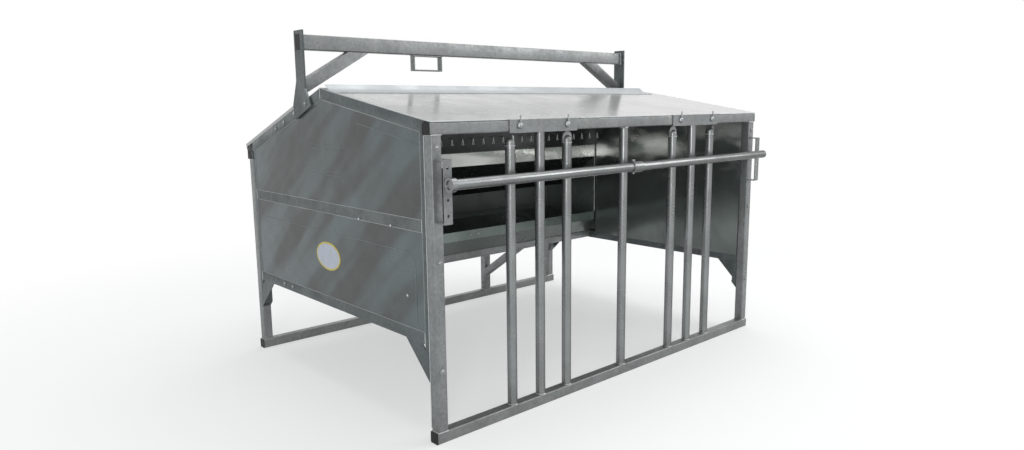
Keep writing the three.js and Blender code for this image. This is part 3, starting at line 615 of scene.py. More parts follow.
# %% Dressed copies
GROWN = ("side_lower_sheet", "side_upper_sheet", "side_lining", "fixed_bar", "gate_bar")
SHEETS = {
    "roof_sheet": lit_roof_zinc,
    "ridge_strip": lit_roof_zinc,
    "rear_lid": lit_roof_zinc,
    "ridge_flashing": flashing_zinc,
    "hopper_front": shaded_hopper_zinc,
    "hopper_back": back_zinc,
    "trough": inner_zinc,
}
# the first row with one of its words in the node's name holds: finish, slot and bevel in mm
BY_WORD = (
    (("cap_",), cap_black, "black_plastic", 1.0),
    (("side_frame", "lift_plate"), shaded_rail_zinc, "zinc_tube", 0.8),
    (("bolt", "lid_hinge_pin"), bolt_zinc, "zinc_fastener", 0.5),
    (("bar",), bar_zinc, "zinc_tube", 0.6),
    (("",), tube_zinc, "zinc_tube", 0.8),
)


def dress(node):
    material, slot, width = SHEETS.get(node), "zinc_sheet", 0.5
    if material is None:
        material, slot, width = next(row[1:] for row in BY_WORD if any(word in node for word in row[0]))
    piece = new_piece(node + "_finished", clean_copy(node))
    round_edges(piece, width)
    hand_over(piece, material, BODY_OF[node], [node])


solid_nodes = [node for node in sorted(frame["nodes"]) if not node.startswith(GROWN)]
for node in solid_nodes:
    dress(node)
print("dressed", len(solid_nodes), "solids")

# %% [markdown]
# ## Side sheets that aren't flat
#
# The side sheets are the largest faces in the picture, and a flat face would reflect like glass.
# The real ones are softly buckled, because thin sheet pulls as it cools. A bump map would do for
# the shine, but a real grid also bends the edge of a reflection. So the outline of the CAD solid is
# cut into small cells, and each corner moves in or out by a few tenths of a millimetre.

# %% Sheet grids
CELL, LINING_CELL, SHEET = 26.0, 24.0, 2.5
LINING_SWING, LINING_BACK = 0.9, 0.7
PHASES = {"lower": 2.6, "upper": 1.0, "lining": 0.4}


def outline_of(node):
    """The corners of a flat CAD sheet in the YZ plane, in millimetres, in order."""
    work = bmesh.new()
    work.from_mesh(clean_copy(node))
    face = max(work.faces, key=lambda f: f.calc_area())
    corners = [(v.co.y / MM + FRONT_SHIFT, v.co.z / MM) for v in face.verts]
    work.free()
    return corners


def buckle(y, z, phase):
    """Slow waves of a sheet that was dipped hot: three sines, each with its slope and its share."""
    climb = 0.0046 * y - 0.0058 * z
    first = math.sin(2 * math.pi * climb * 1.3 + phase)
    second = math.sin(0.011 * y + 0.017 * z + 2.1 * phase)
    third = math.sin(0.0041 * y - 0.0203 * z + 0.7 * phase)
    return 0.34 * first + 0.26 * second + 0.18 * third


def lining_wave(y, z):
    return LINING_SWING * buckle(z, y, PHASES["lining"]) - LINING_BACK


def cut_cells(work, cell):
    """A flat face in the YZ plane, cut both ways into cells of about that size."""
    for axis in (1, 2):
        values = [v.co[axis] for v in work.verts]
        count = int((max(values) - min(values)) / cell)
        normal = Vector((0, 1, 0)) if axis == 1 else Vector((0, 0, 1))
        for step in range(1, count):
            cut = min(values) + step * (max(values) - min(values)) / count
            parts = list(work.verts) + list(work.edges) + list(work.faces)
            bmesh.ops.bisect_plane(work, geom=parts, dist=1e-4, plane_co=normal * cut, plane_no=normal)


def grid_sheet(node, sign, height, cell=CELL):
    """The sheet as a solid whose outer face follows height(y, z)."""
    low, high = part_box(node)
    outer = (low.x if sign < 0 else high.x) / MM
    work = bmesh.new()
    corners = [work.verts.new((0.0, y, z)) for y, z in outline_of(node)]
    work.faces.new(corners)
    cut_cells(work, cell)
    rim = {v for e in work.edges if e.is_boundary for v in e.verts}
    for v in work.verts:
        rise = 0.0 if v in rim else height(v.co.y, v.co.z)
        v.co.x = outer + sign * rise
    back = bmesh.ops.extrude_face_region(work, geom=list(work.faces))["geom"]
    for v in back:
        if isinstance(v, bmesh.types.BMVert):
            v.co.x -= sign * SHEET
    for v in work.verts:
        v.co = at(*v.co)
    bmesh.ops.recalc_face_normals(work, faces=work.faces)
    mesh = mesh_of(work, node + "_pressed")
    smooth(mesh)
    return mesh


# %% The sheets and the linings
SIDES = {"left": -1, "right": 1}
for side, sign in SIDES.items():
    for level in ("lower", "upper"):
        node = f"side_{level}_sheet_{side}"
        mesh = grid_sheet(node, sign, lambda y, z, phase=PHASES[level]: buckle(y, z, phase))
        hand_over(new_piece(node + "_pressed", mesh), shaded_side_zinc, replaced=[node])
    node = f"side_lining_{side}"
    mesh = grid_sheet(node, -sign, lining_wave, LINING_CELL)
    hand_over(new_piece(node + "_pressed", mesh), lining_zinc, replaced=[node])
    print("pressed sheets on the", side, "side:", len(mesh.polygons), "faces in the lining")

# %% [markdown]
# ## Beads along every joint
#
# Each joint of the frame is a weld: a row of overlapping ripples, drowned in zinc. The side sheets
# end in a thinner line where zinc ran into the corner, and that line is what catches the light in
# the photograph. One Geometry Nodes tree makes them all: it turns drawn lines into curves, lets
# their radius rise and fall, and sweeps a circle along them.

# %% Shape trees


def shape_group(name, sizes):
    """A Geometry Nodes tree with its sizes between the source mesh and the finish."""
    inputs = [("Geometry", "Geometry", None), *sizes, ("Finish", "Material", None)]
    return new_group("GeometryNodeTree", name, inputs, [("Geometry", "Geometry")])


def close_tree(tree, entry, leave, geometry):
    """The end of every tree here: instances become mesh, and the finish goes on."""
    whole = tree.out("GeometryNodeRealizeInstances", {"Geometry": geometry})
    finish = {"Geometry": whole, "Material": entry["Finish"]}
    tree.put(tree.out("GeometryNodeSetMaterial", finish), leave["Geometry"])


# %% Bead tree
RIPPLE_SCALE = 140.0
BEAD_SIZES = [("Radius", "Float", 0.0025), ("Step", "Float", 0.002), ("Ripple", "Float", 0.25)]
beads, tree, entry, leave = shape_group("weld_beads", BEAD_SIZES + [("Sides", "Int", 6)])
curves = tree.out("GeometryNodeMeshToCurve", {"Mesh": entry["Geometry"]})
sizes = {"Curve": curves, "Length": entry["Step"]}
even = tree.out("GeometryNodeResampleCurve", sizes, mode="LENGTH")
spot = tree.out("GeometryNodeInputPosition")
ripple = tree.math("SUBTRACT", tree.noise(spot, RIPPLE_SCALE, 1.0), 0.5)
swing = tree.times(ripple, entry["Ripple"])
radius = tree.times(tree.plus(swing, 1.0), entry["Radius"])
sizes = {"Resolution": entry["Sides"], "Radius": 1.0}
ring = tree.out("GeometryNodeCurvePrimitiveCircle", sizes)
sizes = {"Curve": even, "Profile Curve": ring, "Scale": radius, "Fill Caps": True}
close_tree(tree, entry, leave, tree.out("GeometryNodeCurveToMesh", sizes))
print("bead tree:", len(beads.nodes), "nodes")

# %% Lines and runs


def lines_mesh(name, lines):
    """Drawn lines as a mesh of edges. A line whose ends meet is closed."""
    points, edges = [], []
    for line in lines:
        closed = (line[0] - line[-1]).length < 1e-6
        kept = line[:-1] if closed else line
        start = len(points)
        points += kept
        edges += [(start + i, start + i + 1) for i in range(len(kept) - 1)]
        if closed:
            edges.append((start + len(kept) - 1, start))
    return wire(name, points, edges)


def grow(name, group, source, values, material, body, replaced=()):
    """One run of a Geometry Nodes tree on a source mesh, kept as a plain mesh."""
    piece = new_piece(name, source)
    modifier = piece.modifiers.new("grow", "NODES")
    modifier.node_group = group
    inputs = dict(values, Finish=material)
    for item in group.interface.items_tree:
        if item.item_type == "SOCKET" and item.in_out == "INPUT" and item.name in inputs:
            modifier[item.identifier] = inputs[item.name]
    settle(piece)
    smooth(piece.data)
    hand_over(piece, material, body, replaced)
    print(name, "has", len(piece.data.polygons), "faces")


def run_beads(name, lines, radius, step, ripple, sides=6, finish=bead_zinc, body="frame", slot="zinc_tube"):
    """Beads along drawn lines. Radius and step are in metres."""
    values = {"Radius": radius, "Step": step, "Ripple": ripple, "Sides": sides}
    grow(name, beads, lines_mesh(name, lines), values, finish, body)


# %% [markdown]
# ### Where the beads run
#
# Square loops close the ends of the posts and legs, circles close the feet of the bars, and a thin
# line follows the edge of each side sheet. Most places come from the boxes of the CAD nodes, so a
# bead moves with its tube. The rest are named here, in millimetres.

# %% Bead loops
JOINT_GAP = 0.15
SEAM_INSET, SEAM_OUT = 0.6, 0.2


def mm_box(node):
    """The lowest and highest corner of a CAD node, in millimetres from the front face."""
    low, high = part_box(node)
    shift = Vector((0, FRONT_SHIFT, 0))
    return low / MM + shift, high / MM + shift


def square_loops(low, high):
    """A loop just under a tube and one just above it."""
    corners = [(low.x, low.y), (high.x, low.y), (high.x, high.y), (low.x, high.y), (low.x, low.y)]
    return [[at(x, y, z) for x, y in corners] for z in (low.z - JOINT_GAP, high.z + JOINT_GAP)]


def ring_loop(x, y, z, radius, steps=28):
    return [at(x + radius * math.cos(a), y + radius * math.sin(a), z) for a in around(steps) + [0.0]]


def upright(x, y, ends):
    return [at(x, y, z) for z in ends]


def sheet_loop(node, sign):
    """The edge of a side sheet, where it meets the rails."""
    corners = outline_of(node)
    low, high = mm_box(node)
    outer = low.x if sign < 0 else high.x
    middle = Vector((sum(c[0] for c in corners), sum(c[1] for c in corners))) / len(corners)
    pulled = []
    for corner in corners:
        way = (middle - Vector(corner)).normalized() * SEAM_INSET
        pulled.append(at(outer + sign * SEAM_OUT, corner[0] + way.x, corner[1] + way.y))
    return pulled + pulled[:1]


# %% Posts, legs and bars
LEG_FRONT = 1700.0
frame_lines = []
for node in [f"{end}_post_{side}" for end in ("front", "rear") for side in SIDES]:
    frame_lines += square_loops(*mm_box(node))
for side in SIDES:
    low, high = mm_box(f"mid_leg_{side}")
    frame_lines += square_loops(Vector((low.x, LEG_FRONT, low.z)), high)
for where in ("left", "middle", "right"):
    low, high = mm_box("fixed_bar_" + where)
    middle, radius = (low + high) / 2, (high.x - low.x) / 2
    # the clamp angles slide close round the tops of the outer two
    levels = (low.z + 1, high.z - 1) if where == "middle" else (low.z + 1,)
    frame_lines += [ring_loop(middle.x, middle.y, z, radius) for z in levels]
print(len(frame_lines), "loops round posts, legs and bars")

# %% Lifting frame, side frames and hopper corners
BEAM_END_X, BEAM_FRONT, BEAM_BACK, BEAM_LOW, BEAM_HIGH = 1191.6, 1034, 1084, 1660, 1734
SIDE_FACE_X, APEX_Y, APEX_ENDS = 1192.2, 877, (1473, 1424)
RAIL_FRONT, RAIL_BACK, LOWER_RAIL, MIDDLE_RAIL = 78.3, 1671.7, (416, 464), (884, 932)
LOOP_ENDS, LOOP_SIDES, LOOP_TOP, LOOP_RUN = (-540.0, -350.0), (1041, 1077), 1658.5, 8
POST_EDGE_X, POST_BACK, POST_ENDS = 1191.4, 50.15, (60, 1272)
CORNER_X, CORNER_Y, CORNER_LEVELS = 1129.0, 1213.0, (1100, 1018, 617)
for sign in SIDES.values():
    beam = [(BEAM_FRONT, BEAM_LOW), (BEAM_BACK, BEAM_LOW), (BEAM_BACK, BEAM_HIGH), (BEAM_FRONT, BEAM_HIGH)]
    frame_lines.append([at(sign * BEAM_END_X, y, z) for y, z in beam + beam[:1]])
    frame_lines.append(upright(sign * SIDE_FACE_X, APEX_Y, APEX_ENDS))
    for y in (RAIL_FRONT, RAIL_BACK):
        frame_lines += [upright(sign * SIDE_FACE_X, y, ends) for ends in (LOWER_RAIL, MIDDLE_RAIL)]
for x in LOOP_ENDS:
    for y in LOOP_SIDES:
        frame_lines.append([at(x, y, LOOP_TOP), at(x + math.copysign(LOOP_RUN, -x), y, LOOP_TOP)])
for sign in SIDES.values():
    frame_lines.append(upright(sign * POST_EDGE_X, POST_BACK, POST_ENDS))
    for ends in (CORNER_LEVELS[:2], CORNER_LEVELS[1:]):
        frame_lines.append(upright(sign * CORNER_X, CORNER_Y, ends))
print(len(frame_lines), "lines with the lifting frame, the side frames and the hopper")

# %% Roof edge
ROOF_RISE, EDGE_LIFT, RIDGE_GAP = 0.1699, 1.5, 70
# the clamp angles slide 20 mm each way, and the beads stop clear of them
GATE_REACH = 26.0
roof_low, roof_high = mm_box("roof_sheet")
edge_z = roof_low.z + EDGE_LIFT
ridge_z = edge_z + ROOF_RISE * roof_high.y
for x in (roof_low.x, roof_high.x):
    ridge_end = at(x, roof_high.y - RIDGE_GAP, ridge_z - ROOF_RISE * RIDGE_GAP)
    frame_lines.append([at(x, roof_low.y, edge_z), ridge_end])
angle_low, angle_high = mm_box("clamp_angle_right")
clear_in, clear_out = angle_low.x - GATE_REACH, angle_high.x + GATE_REACH
for start, stop in ((roof_low.x, -clear_out), (-clear_in, clear_in), (clear_out, roof_high.x)):
    frame_lines.append([at(start, roof_low.y, edge_z), at(stop, roof_low.y, edge_z)])
WELD = (0.0026, 0.004, 0.9)
run_beads("frame_welds", frame_lines, *WELD)

# %% Sheet seams
levels = ("lower", "upper")
seams = [sheet_loop(f"side_{n}_sheet_{side}", sign) for side, sign in SIDES.items() for n in levels]
run_beads("sheet_seams", seams, 0.0021, 0.009, 0.5, finish=seam_zinc, slot="zinc_sheet")

# %% [markdown]
# ### Pressed lines
#
# The side sheets are stiffened by swages, which are folds a few millimetres wide: one follows the
# front slope, one runs below the middle rail and turns down near the front. The left upper sheet
# also has two pairs of plain lines, above and below an empty field. Each is a low rounded ridge that
# is half sunk in the sheet, and a little paler than the sheet, because a ridge sees more sky.

# %% Pressed lines
PRESS_X, FRONT_TOP, SLOPE_DROP, SLOPE_ENDS = 1189.4, 1325, 104, (560, 92)
SWAGE = [(1560, 790), (190, 790), (158, 778), (140, 750), (136, 720), (136, 500)]
PAIR_LEVELS, PAIR_ENDS = (1067.0, 1087.0, 1190.0, 1210.0), (712, 1000)
slope = [(y, FRONT_TOP + ROOF_RISE * y - SLOPE_DROP) for y in SLOPE_ENDS]
presses = []
for sign in SIDES.values():
    presses += [[at(sign * PRESS_X, y, z) for y, z in line] for line in (slope, SWAGE)]
presses += [[at(-PRESS_X, y, z) for y in PAIR_ENDS] for z in PAIR_LEVELS]
run_beads("sheet_presses", presses, 0.0022, 0.010, 0.2, 8, press_zinc, slot="zinc_sheet")

# %% [markdown]
# ### Ticks on the hopper
#
# A row of small marks like roofs stands before the sloping hopper sheet, one every 80 mm. They may
# be bent tabs that stop feed from bridging. They are drawn as bent wire in front of that slope.

# %% Hopper ticks
TICK_PITCH, TICK_HALF, TICKS_EACH_WAY = 80.0, 7.0, 13
TICK_Y, TICK_LOW, TICK_HIGH = 1112.0, 1154.0, 1193.0
tick_lines = []
for step in range(-TICKS_EACH_WAY, TICKS_EACH_WAY + 1):
    x = step * TICK_PITCH
    corners = [(x - TICK_HALF, TICK_LOW), (x, TICK_HIGH), (x + TICK_HALF, TICK_LOW)]
    tick_lines.append([at(u, TICK_Y, z) for u, z in corners])
run_beads("hopper_ticks", tick_lines, 0.0024, 0.003, 0.3, slot="zinc_sheet")

# %% [markdown]
# ## Bolts, rivets and nuts
#
# Domed bolts with washers hold the side frames to the front and rear frames, and some of their hex
# nuts show from the other side. One tree places them all: it reads an aim at each point, turns the
# head that way, and gives it a random spin, because no two nuts stop at the same angle.

# %% Stud tree
STUD_SIZES = [
    ("Head Radius", "Float", 0.009),
    ("Head Rise", "Float", 0.005),
    ("Washer Radius", "Float", 0.012),
    ("Washer Depth", "Float", 0.002),
    ("Hex Radius", "Float", 0.0),
    ("Hex Depth", "Float", 0.0),
    ("Seed", "Int", 4),
]
studs, tree, entry, leave = shape_group("studs", STUD_SIZES)


def lifted(tree, part, height):
    """A part moved up its own axis."""
    up = tree.out("ShaderNodeCombineXYZ", {"Z": height})
    return tree.out("GeometryNodeTransform", {"Geometry": part, "Translation": up})


def cylinder(tree, sides, radius, depth):
    sizes = {"Vertices": sides, "Radius": radius, "Depth": depth}
    return tree.out("GeometryNodeMeshCylinder", sizes)


def dome(tree, segments, rings, radius, rise):
    """A ball, squashed to a radius and a rise."""
    sizes = {"Segments": segments, "Rings": rings, "Radius": 1.0}
    ball = tree.out("GeometryNodeMeshUVSphere", sizes)
    squash = tree.out("ShaderNodeCombineXYZ", {"X": radius, "Y": radius, "Z": rise})
    return tree.out("GeometryNodeTransform", {"Geometry": ball, "Scale": squash})


def joined(tree, parts):
    join = tree.tree.nodes.new("GeometryNodeJoinGeometry")
    for part in parts:
        tree.tree.links.new(part, join.inputs[0])
    return join.outputs[0]


head = dome(tree, 20, 10, entry["Head Radius"], entry["Head Rise"])
head = lifted(tree, head, tree.plus(entry["Washer Depth"], entry["Hex Depth"]))
washer = cylinder(tree, 24, entry["Washer Radius"], entry["Washer Depth"])
washer = lifted(tree, washer, tree.times(entry["Washer Depth"], 0.5))
hexagon = cylinder(tree, 6, entry["Hex Radius"], entry["Hex Depth"])
half_hex = tree.times(entry["Hex Depth"], 0.5)
hexagon = lifted(tree, hexagon, tree.plus(entry["Washer Depth"], half_hex))
choice = {"Switch": tree.math("GREATER_THAN", entry["Hex Depth"], 0.0), "True": hexagon}
hexagon = tree.out("GeometryNodeSwitch", choice, input_type="GEOMETRY")
stack = joined(tree, (head, washer, hexagon))

# %% Stud aim and spin
aims = tree.add("GeometryNodeInputNamedAttribute", {"Name": "aim"}, data_type="FLOAT_VECTOR")
sizes = {"Vector": aims.outputs["Attribute"]}
turned = tree.out("FunctionNodeAlignRotationToVector", sizes, axis="Z")
sizes = {2: 0.0, 3: 2 * math.pi, "Seed": entry["Seed"]}
chance = tree.add("FunctionNodeRandomValue", sizes, data_type="FLOAT").outputs[1]
sizes = {"Axis": (0.0, 0.0, 1.0), "Angle": chance}
spin = tree.out("FunctionNodeAxisAngleToRotation", sizes)
turned = tree.out("FunctionNodeRotateRotation", {0: turned, 1: spin}, rotation_space="LOCAL")
points = tree.out("GeometryNodeMeshToPoints", {"Mesh": entry["Geometry"]})
sizes = {"Points": points, "Instance": stack, "Rotation": turned}
close_tree(tree, entry, leave, tree.out("GeometryNodeInstanceOnPoints", sizes))
print("stud tree:", len(studs.nodes), "nodes")


def place_studs(name, spots, sizes, finish):
    """Studs on the frame. A spot is a place and the way its stud looks."""
    mesh = wire(name, [place for place, _ in spots])
    ways = [part for _, way in spots for part in way]
    mesh.attributes.new("aim", "FLOAT_VECTOR", "POINT").data.foreach_set("vector", ways)
    grow(name, studs, mesh, sizes, finish, "frame")


# %% [markdown]
# ### Where they sit
#
# The bolts of the posts look forward and back, those of the side frames and the lifting plates look
# sideways. Small rivets hold the ridge flashing to the roof and the back sheet to its lower edge,
# every 150 mm, and a few hold the trough lip and the side sheets.

# %% Bolts and nuts
FRONT, BACK = (0.0, -1.0, 0.0), (0.0, 1.0, 0.0)
POST_X, SIDE_X, SIDE_NUT_X, PLATE_X = 1167.0, 1192.0, 1139.0, 1202.3
POST_BOLTS, REAR_TOP, REAR_FACE, NUT_DROP = (1226.0, 767.0, 313.0), 1060, 1750, 30
# places on a side, in Y and Z
SIDE_BOLTS = ((1289.0, 442.0), (1386.0, 442.0), (1382.0, 1277.0), (1282.0, 1311.0))
PLATE_BOLTS = ((1139.0, 1356.0), (1015.0, 1404.0))
bolt_spots, nut_spots = [], []
for sign in SIDES.values():
    outward, inward = (float(sign), 0.0, 0.0), (-float(sign), 0.0, 0.0)
    for z in POST_BOLTS:
        bolt_spots.append((at(sign * POST_X, 0, z), FRONT))
        bolt_spots.append((at(sign * POST_X, REAR_FACE, min(z, REAR_TOP)), BACK))
        nut_spots.append((at(sign * POST_X, RAIL_FRONT, z - NUT_DROP), BACK))
    bolt_spots += [(at(sign * SIDE_X, y, z), outward) for y, z in SIDE_BOLTS]
    nut_spots += [(at(sign * SIDE_NUT_X, y, z), inward) for y, z in SIDE_BOLTS[:2]]
    bolt_spots += [(at(sign * PLATE_X, y, z), outward) for y, z in PLATE_BOLTS]
BOLT = {"Head Radius": 0.0085, "Head Rise": 0.0055, "Washer Radius": 0.0125, "Washer Depth": 0.0018}
NUT = {"Head Radius": 0.005, "Head Rise": 0.003, "Washer Radius": 0.0125}
NUT.update({"Hex Radius": 0.0105, "Hex Depth": 0.008})
place_studs("frame_bolts", bolt_spots, BOLT, bolt_zinc)
place_studs("frame_nuts", nut_spots, NUT, bolt_zinc)

# %% Rivets
RIVET_PITCH, RIVETS_EACH_WAY = 150.0, 7
FLASHING_Y, FLASHING_DROP, RIVET_SINK = 742.0, 149.0, 2.0
BACK_RIVET_Y, BACK_RIVET_Z = 1699.4, 578
TROUGH_RIVETS, TROUGH_Y, TROUGH_Z = (-35.0, 30.0), 1211.4, 588
SHEET_IN, SHEET_RIVET = 2.3, (202, 600)
MIDDLE_RIVETS = ((573.0, 886.0), (311.0, 886.0))
ROOF_PITCH = math.atan(ROOF_RISE)
roof_up = (0.0, -math.sin(ROOF_PITCH), math.cos(ROOF_PITCH))
flashing_z = roof_high.z - FLASHING_DROP + ROOF_RISE * FLASHING_Y - RIVET_SINK
rivet_spots = []
for step in range(-RIVETS_EACH_WAY, RIVETS_EACH_WAY + 1):
    rivet_spots.append((at(step * RIVET_PITCH, FLASHING_Y, flashing_z), roof_up))
    rivet_spots.append((at(step * RIVET_PITCH, BACK_RIVET_Y, BACK_RIVET_Z), BACK))
rivet_spots += [(at(x, TROUGH_Y, TROUGH_Z), FRONT) for x in TROUGH_RIVETS]
for sign in SIDES.values():
    outward = (float(sign), 0.0, 0.0)
    rivet_spots.append((at(sign * (SIDE_X - SHEET_IN), *SHEET_RIVET), outward))
    rivet_spots += [(at(sign * SIDE_X, y, z), outward) for y, z in MIDDLE_RIVETS]
RIVET = {"Head Radius": 0.0062, "Head Rise": 0.0032, "Washer Radius": 0.0068, "Washer Depth": 0.0006}
place_studs("sheet_rivets", rivet_spots, RIVET, bead_zinc)

# %% [markdown]
# ## Round bars
#
# The creep bars are drawn pipe. The CAD pipes have twenty flats, which is fine for a clash test but
# shows in a highlight, so the bars are grown again with a finer ring and a softly rounded top. The
# movable ones hang by a flat tab that is welded to the top.

# %% Bar tree
BAR_SIZES = [("Radius", "Float", 0.0225), ("Length", "Float", 1.2), ("Top Rise", "Float", 0.001)]
bars, tree, entry, leave = shape_group("round_bars", BAR_SIZES)
half_length = tree.times(entry["Length"], 0.5)
shaft = lifted(tree, cylinder(tree, 48, entry["Radius"], entry["Length"]), half_length)
crown = lifted(tree, dome(tree, 48, 16, entry["Radius"], entry["Top Rise"]), entry["Length"])
points = tree.out("GeometryNodeMeshToPoints", {"Mesh": entry["Geometry"]})
sizes = {"Points": points, "Instance": joined(tree, (shaft, crown))}
close_tree(tree, entry, leave, tree.out("GeometryNodeInstanceOnPoints", sizes))
print("bar tree:", len(bars.nodes), "nodes")

# %% Feet and tabs
BAR_RADIUS, GATE_FOOT, GATE_TOP, CROWN, FIXED_LENGTH = 0.0225, 50.3, 1250.0, 22, 1.2235
LUG_TOP, LUG_DEPTH, LUG_STEPS, LUG_Y = 1269.4, 35.0, 14, 25


def grow_bars(name, nodes, sizes, body):
    """A bar on the foot of each node, in place of the node."""
    feet = []
    for low, high in map(mm_box, nodes):
        middle = (low + high) / 2
        feet.append(at(middle.x, middle.y, low.z))
    grow(name, bars, wire(name, feet), sizes, bar_zinc, body, nodes)


def lug_mesh(name, half_x, half_y, x):
    """A flat tab with a round end at the top of a gate bar."""
    half, other, thin_in_y = (half_x, half_y, True) if half_x > half_y else (half_y, half_x, False)
    low, middle = GATE_TOP - LUG_DEPTH, LUG_TOP - half
    arc = [math.pi * i / LUG_STEPS for i in range(LUG_STEPS + 1)]
    outline = [(-half, low), (half, low)] + [(half * math.cos(a), middle + half * math.sin(a)) for a in arc]
    rings = []
    for shift in (-other, other):
        if thin_in_y:
            rings.append([at(x + u, LUG_Y + shift, z) for u, z in outline])
        else:
            rings.append([at(x + shift, LUG_Y + u, z) for u, z in outline])
    return prism(rings, name)


# %% The bars
# each gate bar: its name, its place in X, and half the width and the depth of its tab
GATE_BARS = (("inner", 408.0, (30.0, 4.0)), ("outer", 760.0, (4.0, 22.4)))
FOOT_RING, TOP_RING = (51.2, 22.5), (GATE_TOP - LUG_DEPTH, 22.4)
FIXED = {"Radius": BAR_RADIUS, "Length": FIXED_LENGTH, "Top Rise": 0.0005}
MOVABLE = {"Radius": BAR_RADIUS, "Length": (GATE_TOP - GATE_FOOT - CROWN) * MM, "Top Rise": CROWN * MM}
fixed = [f"fixed_bar_{where}" for where in ("left", "middle", "right")]
grow_bars("fixed_bars", fixed, FIXED, "frame")
for side, sign in SIDES.items():
    gate = [f"gate_bar_{row[0]}_{side}" for row in GATE_BARS]
    body = BODY_OF[gate[0]]
    grow_bars(f"gate_bars_{side}", gate, MOVABLE, body)
    for where, x, halves in GATE_BARS:
        lug = new_piece(f"gate_tab_{where}_{side}", lug_mesh("tab", *halves, sign * x))
        round_edges(lug, 0.8)
        hand_over(lug, tube_zinc, body)
    rings = [ring_loop(sign * row[1], LUG_Y, *ring) for ring in (FOOT_RING, TOP_RING) for row in GATE_BARS]
    run_beads(f"gate_welds_{side}", rings, 0.0022, 0.004, 0.8, body=body)

# %% [markdown]
# ## Lid handle
#
# The back is out of the picture, but a lid this wide needs a grip near its lower edge. It is a bent
# rod, welded at both feet, and it rides on the lid. Its places are given in the plane of the lid,
# from the hinge down the slope and up from the hinge axis.

# %% Lid handle
HINGE_Y, HINGE_Z, LID_FALL = 1153.4, 1391.2, 0.3396
LID_PITCH = math.atan(LID_FALL)
LID_TOP, GRIP_RISE, GRIP_HALF, GRIP_DOWN, BEND = 7.3, 36.0, 85.0, 585.0, 12.0
FOOT_RADIUS, FOOT_STEPS = 6.2, 16


def on_lid(x, down, up):
    """A place in the plane of the lid, down the slope and up from it, in metres."""
    y = HINGE_Y + down * math.cos(LID_PITCH) + up * math.sin(LID_PITCH)
    return at(x, y, HINGE_Z - down * math.sin(LID_PITCH) + up * math.cos(LID_PITCH))


def grip_foot(x):
    turns = [(FOOT_RADIUS * math.cos(a), FOOT_RADIUS * math.sin(a)) for a in around(FOOT_STEPS) + [0.0]]
    return [on_lid(x + u, GRIP_DOWN + down, LID_TOP) for u, down in turns]


grip_top = LID_TOP + GRIP_RISE
grip = [(-GRIP_HALF, LID_TOP), (-GRIP_HALF, grip_top - BEND), (BEND - GRIP_HALF, grip_top)]
grip += [(-x, up) for x, up in grip[::-1]]
grip_line = [on_lid(x, GRIP_DOWN, up) for x, up in grip]
run_beads("lid_handle", [grip_line], 0.006, 0.012, 0.0, 16, bar_zinc, "lid")
feet = [grip_foot(x) for x in (-GRIP_HALF, GRIP_HALF)]
run_beads("lid_handle_welds", feet, *WELD, body="lid")

# %% [markdown]
# ## The bare oval plate
#
# The left side carries an oval plate with a pale field and a warm rim. It is left plain.

# %% Oval plate
PLATE_Y, PLATE_Z, PLATE_HALF_Y, PLATE_HALF_Z = 880.0, 669.0, 117.5, 70.0
PLATE_RIM, RIM_LAYER, FIELD_LAYER = 9.0, (-1190.9, -1188.6), (-1191.2, -1188.8)
FADED = (0.42, 0.42, 0.38, 1.0)


def enamel(name, colour, rough):
    """A painted finish that has faded a little."""
    material, tree, shader, place = new_material(name)
    fade = tree.spread(tree.noise(place, 26.0, 4.0), 0.4, 0.75, 0.0, 0.35)
    tree.put(tree.mix(fade, colour, FADED), shader.inputs["Base Color"])
    shader.inputs["Roughness"].default_value = rough
    return material


def oval(inner, outer_x, low_x, steps=72):
    """A flat oval as a closed solid. inner is how far its edge lies inside the rim."""
    half_y, half_z = PLATE_HALF_Y - inner, PLATE_HALF_Z - inner
    edge = [(PLATE_Y + half_y * math.cos(a), PLATE_Z + half_z * math.sin(a)) for a in around(steps)]
    mesh = prism([[at(x, y, z) for y, z in edge] for x in (outer_x, low_x)], "oval")
    smooth(mesh)
    return mesh


rim_enamel = enamel("plate_rim_enamel", (0.62, 0.48, 0.05, 1.0), 0.45)
field_enamel = enamel("plate_field_enamel", (0.50, 0.53, 0.62, 1.0), 0.4)
hand_over(new_piece("oval_rim", oval(0.0, *RIM_LAYER)), rim_enamel)
hand_over(new_piece("oval_field", oval(PLATE_RIM, *FIELD_LAYER)), field_enamel)
print("oval plate:", 2 * PLATE_HALF_Y, "x", 2 * PLATE_HALF_Z, "mm")

# %% [markdown]
# ## Ground, sky and lamps
#
# The picture is a cut-out on white. Rays that only ask what is behind get white, from the world and
# from the far floor alike, and near the object the floor is a pale matt one that keeps its shadow.
# The rest gets a plain grey sky and three soft lamps, so that a grey renders about as it is written.

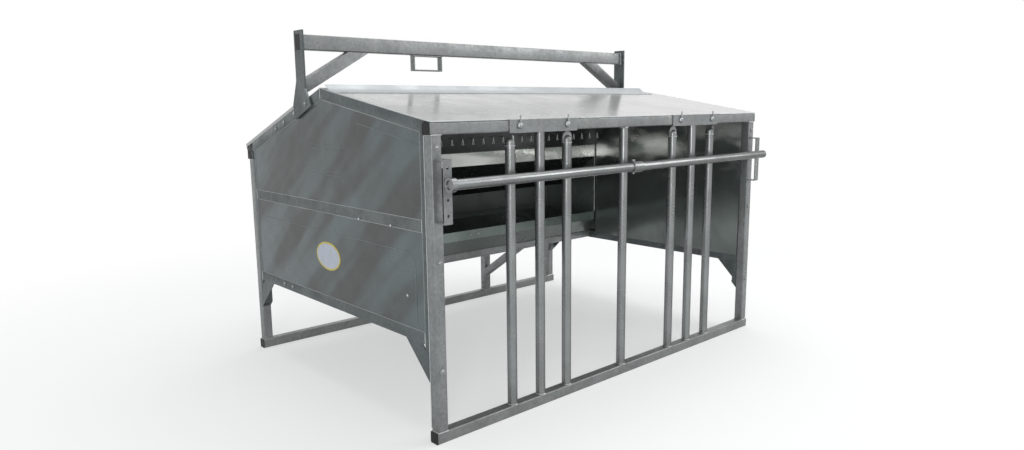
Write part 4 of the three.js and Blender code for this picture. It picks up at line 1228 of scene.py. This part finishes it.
# %% World
WHITE, SKY_LEFT, SKY_RIGHT = (1.0, 1.0, 1.0, 1.0), (0.33, 0.38, 0.39, 1.0), (0.52, 0.53, 0.53, 1.0)
world = bpy.data.worlds.new("world")
bpy.context.scene.world = world
world.use_nodes = True
tree = Tree(world.node_tree)
path = tree.add("ShaderNodeLightPath").outputs
seen = tree.math("MAXIMUM", path["Is Camera Ray"], path["Is Transmission Ray"])
seen = tree.math("MAXIMUM", seen, path["Is Glossy Ray"])
back = world.node_tree.nodes["Background"]
way = tree.add("ShaderNodeTexCoord").outputs["Generated"]
sky = tree.mix(tree.spread(tree.axis(way, "X"), -0.8, 0.4), SKY_LEFT, SKY_RIGHT)
tree.put(tree.mix(seen, sky, WHITE), back.inputs["Color"])
back.inputs["Strength"].default_value = 1.0
print("world:", len(tree.tree.nodes), "nodes")

# %% Floor
NEAR_FLOOR, FAR_FLOOR, FLOOR_RADIUS, NEAR_WHITE = 1.6, 4.6, 60.0, 0.5
work = bmesh.new()
bmesh.ops.create_circle(work, cap_ends=True, radius=FLOOR_RADIUS, segments=96)
floor = new_piece("floor", mesh_of(work, "floor"))
floor_material, tree, shader, place = new_material("floor_pale")
shader.inputs["Base Color"].default_value = (0.92, 0.92, 0.92, 1.0)
shader.inputs["Roughness"].default_value = 0.95
shader.inputs["Specular IOR Level"].default_value = 0.0
away = tree.add("ShaderNodeVectorMath", {0: place}, operation="LENGTH").outputs["Value"]
path = tree.add("ShaderNodeLightPath").outputs
asked = tree.math("MAXIMUM", path["Is Camera Ray"], path["Is Glossy Ray"])
share = tree.times(tree.spread(away, NEAR_FLOOR, FAR_FLOOR, NEAR_WHITE, 1.0), asked)
white = tree.out("ShaderNodeEmission", {"Color": WHITE, "Strength": 1.0})
blend = tree.out("ShaderNodeMixShader", {0: share, 1: shader.outputs[0], 2: white})
tree.put(blend, floor_material.node_tree.nodes["Material Output"].inputs["Surface"])
floor.data.materials.append(floor_material)
print("floor radius", FLOOR_RADIUS, "m")

# %% Lamps


def lamp(name, place, target, size, power):
    data = bpy.data.lights.new(name, "AREA")
    data.shape = "RECTANGLE"
    data.size, data.size_y = size
    data.energy = power
    piece = bpy.data.objects.new(name, data)
    turn = (Vector(target) - Vector(place)).to_track_quat("-Z", "Y").to_matrix().to_4x4()
    piece.matrix_world = Matrix.Translation(place) @ turn
    bpy.context.scene.collection.objects.link(piece)
    print("lamp", name, power, "W")


lamp("overcast", (1.0, 0.0, 7.0), (0.0, 0.0, 0.5), (7.0, 7.0), 330.0)
lamp("front_right", (5.5, -5.0, 4.0), (0.0, 0.0, 0.8), (4.0, 3.0), 150.0)
lamp("tall_left", (-5.2, -5.2, 2.2), (0.0, -0.8, 0.8), (0.9, 3.6), 120.0)
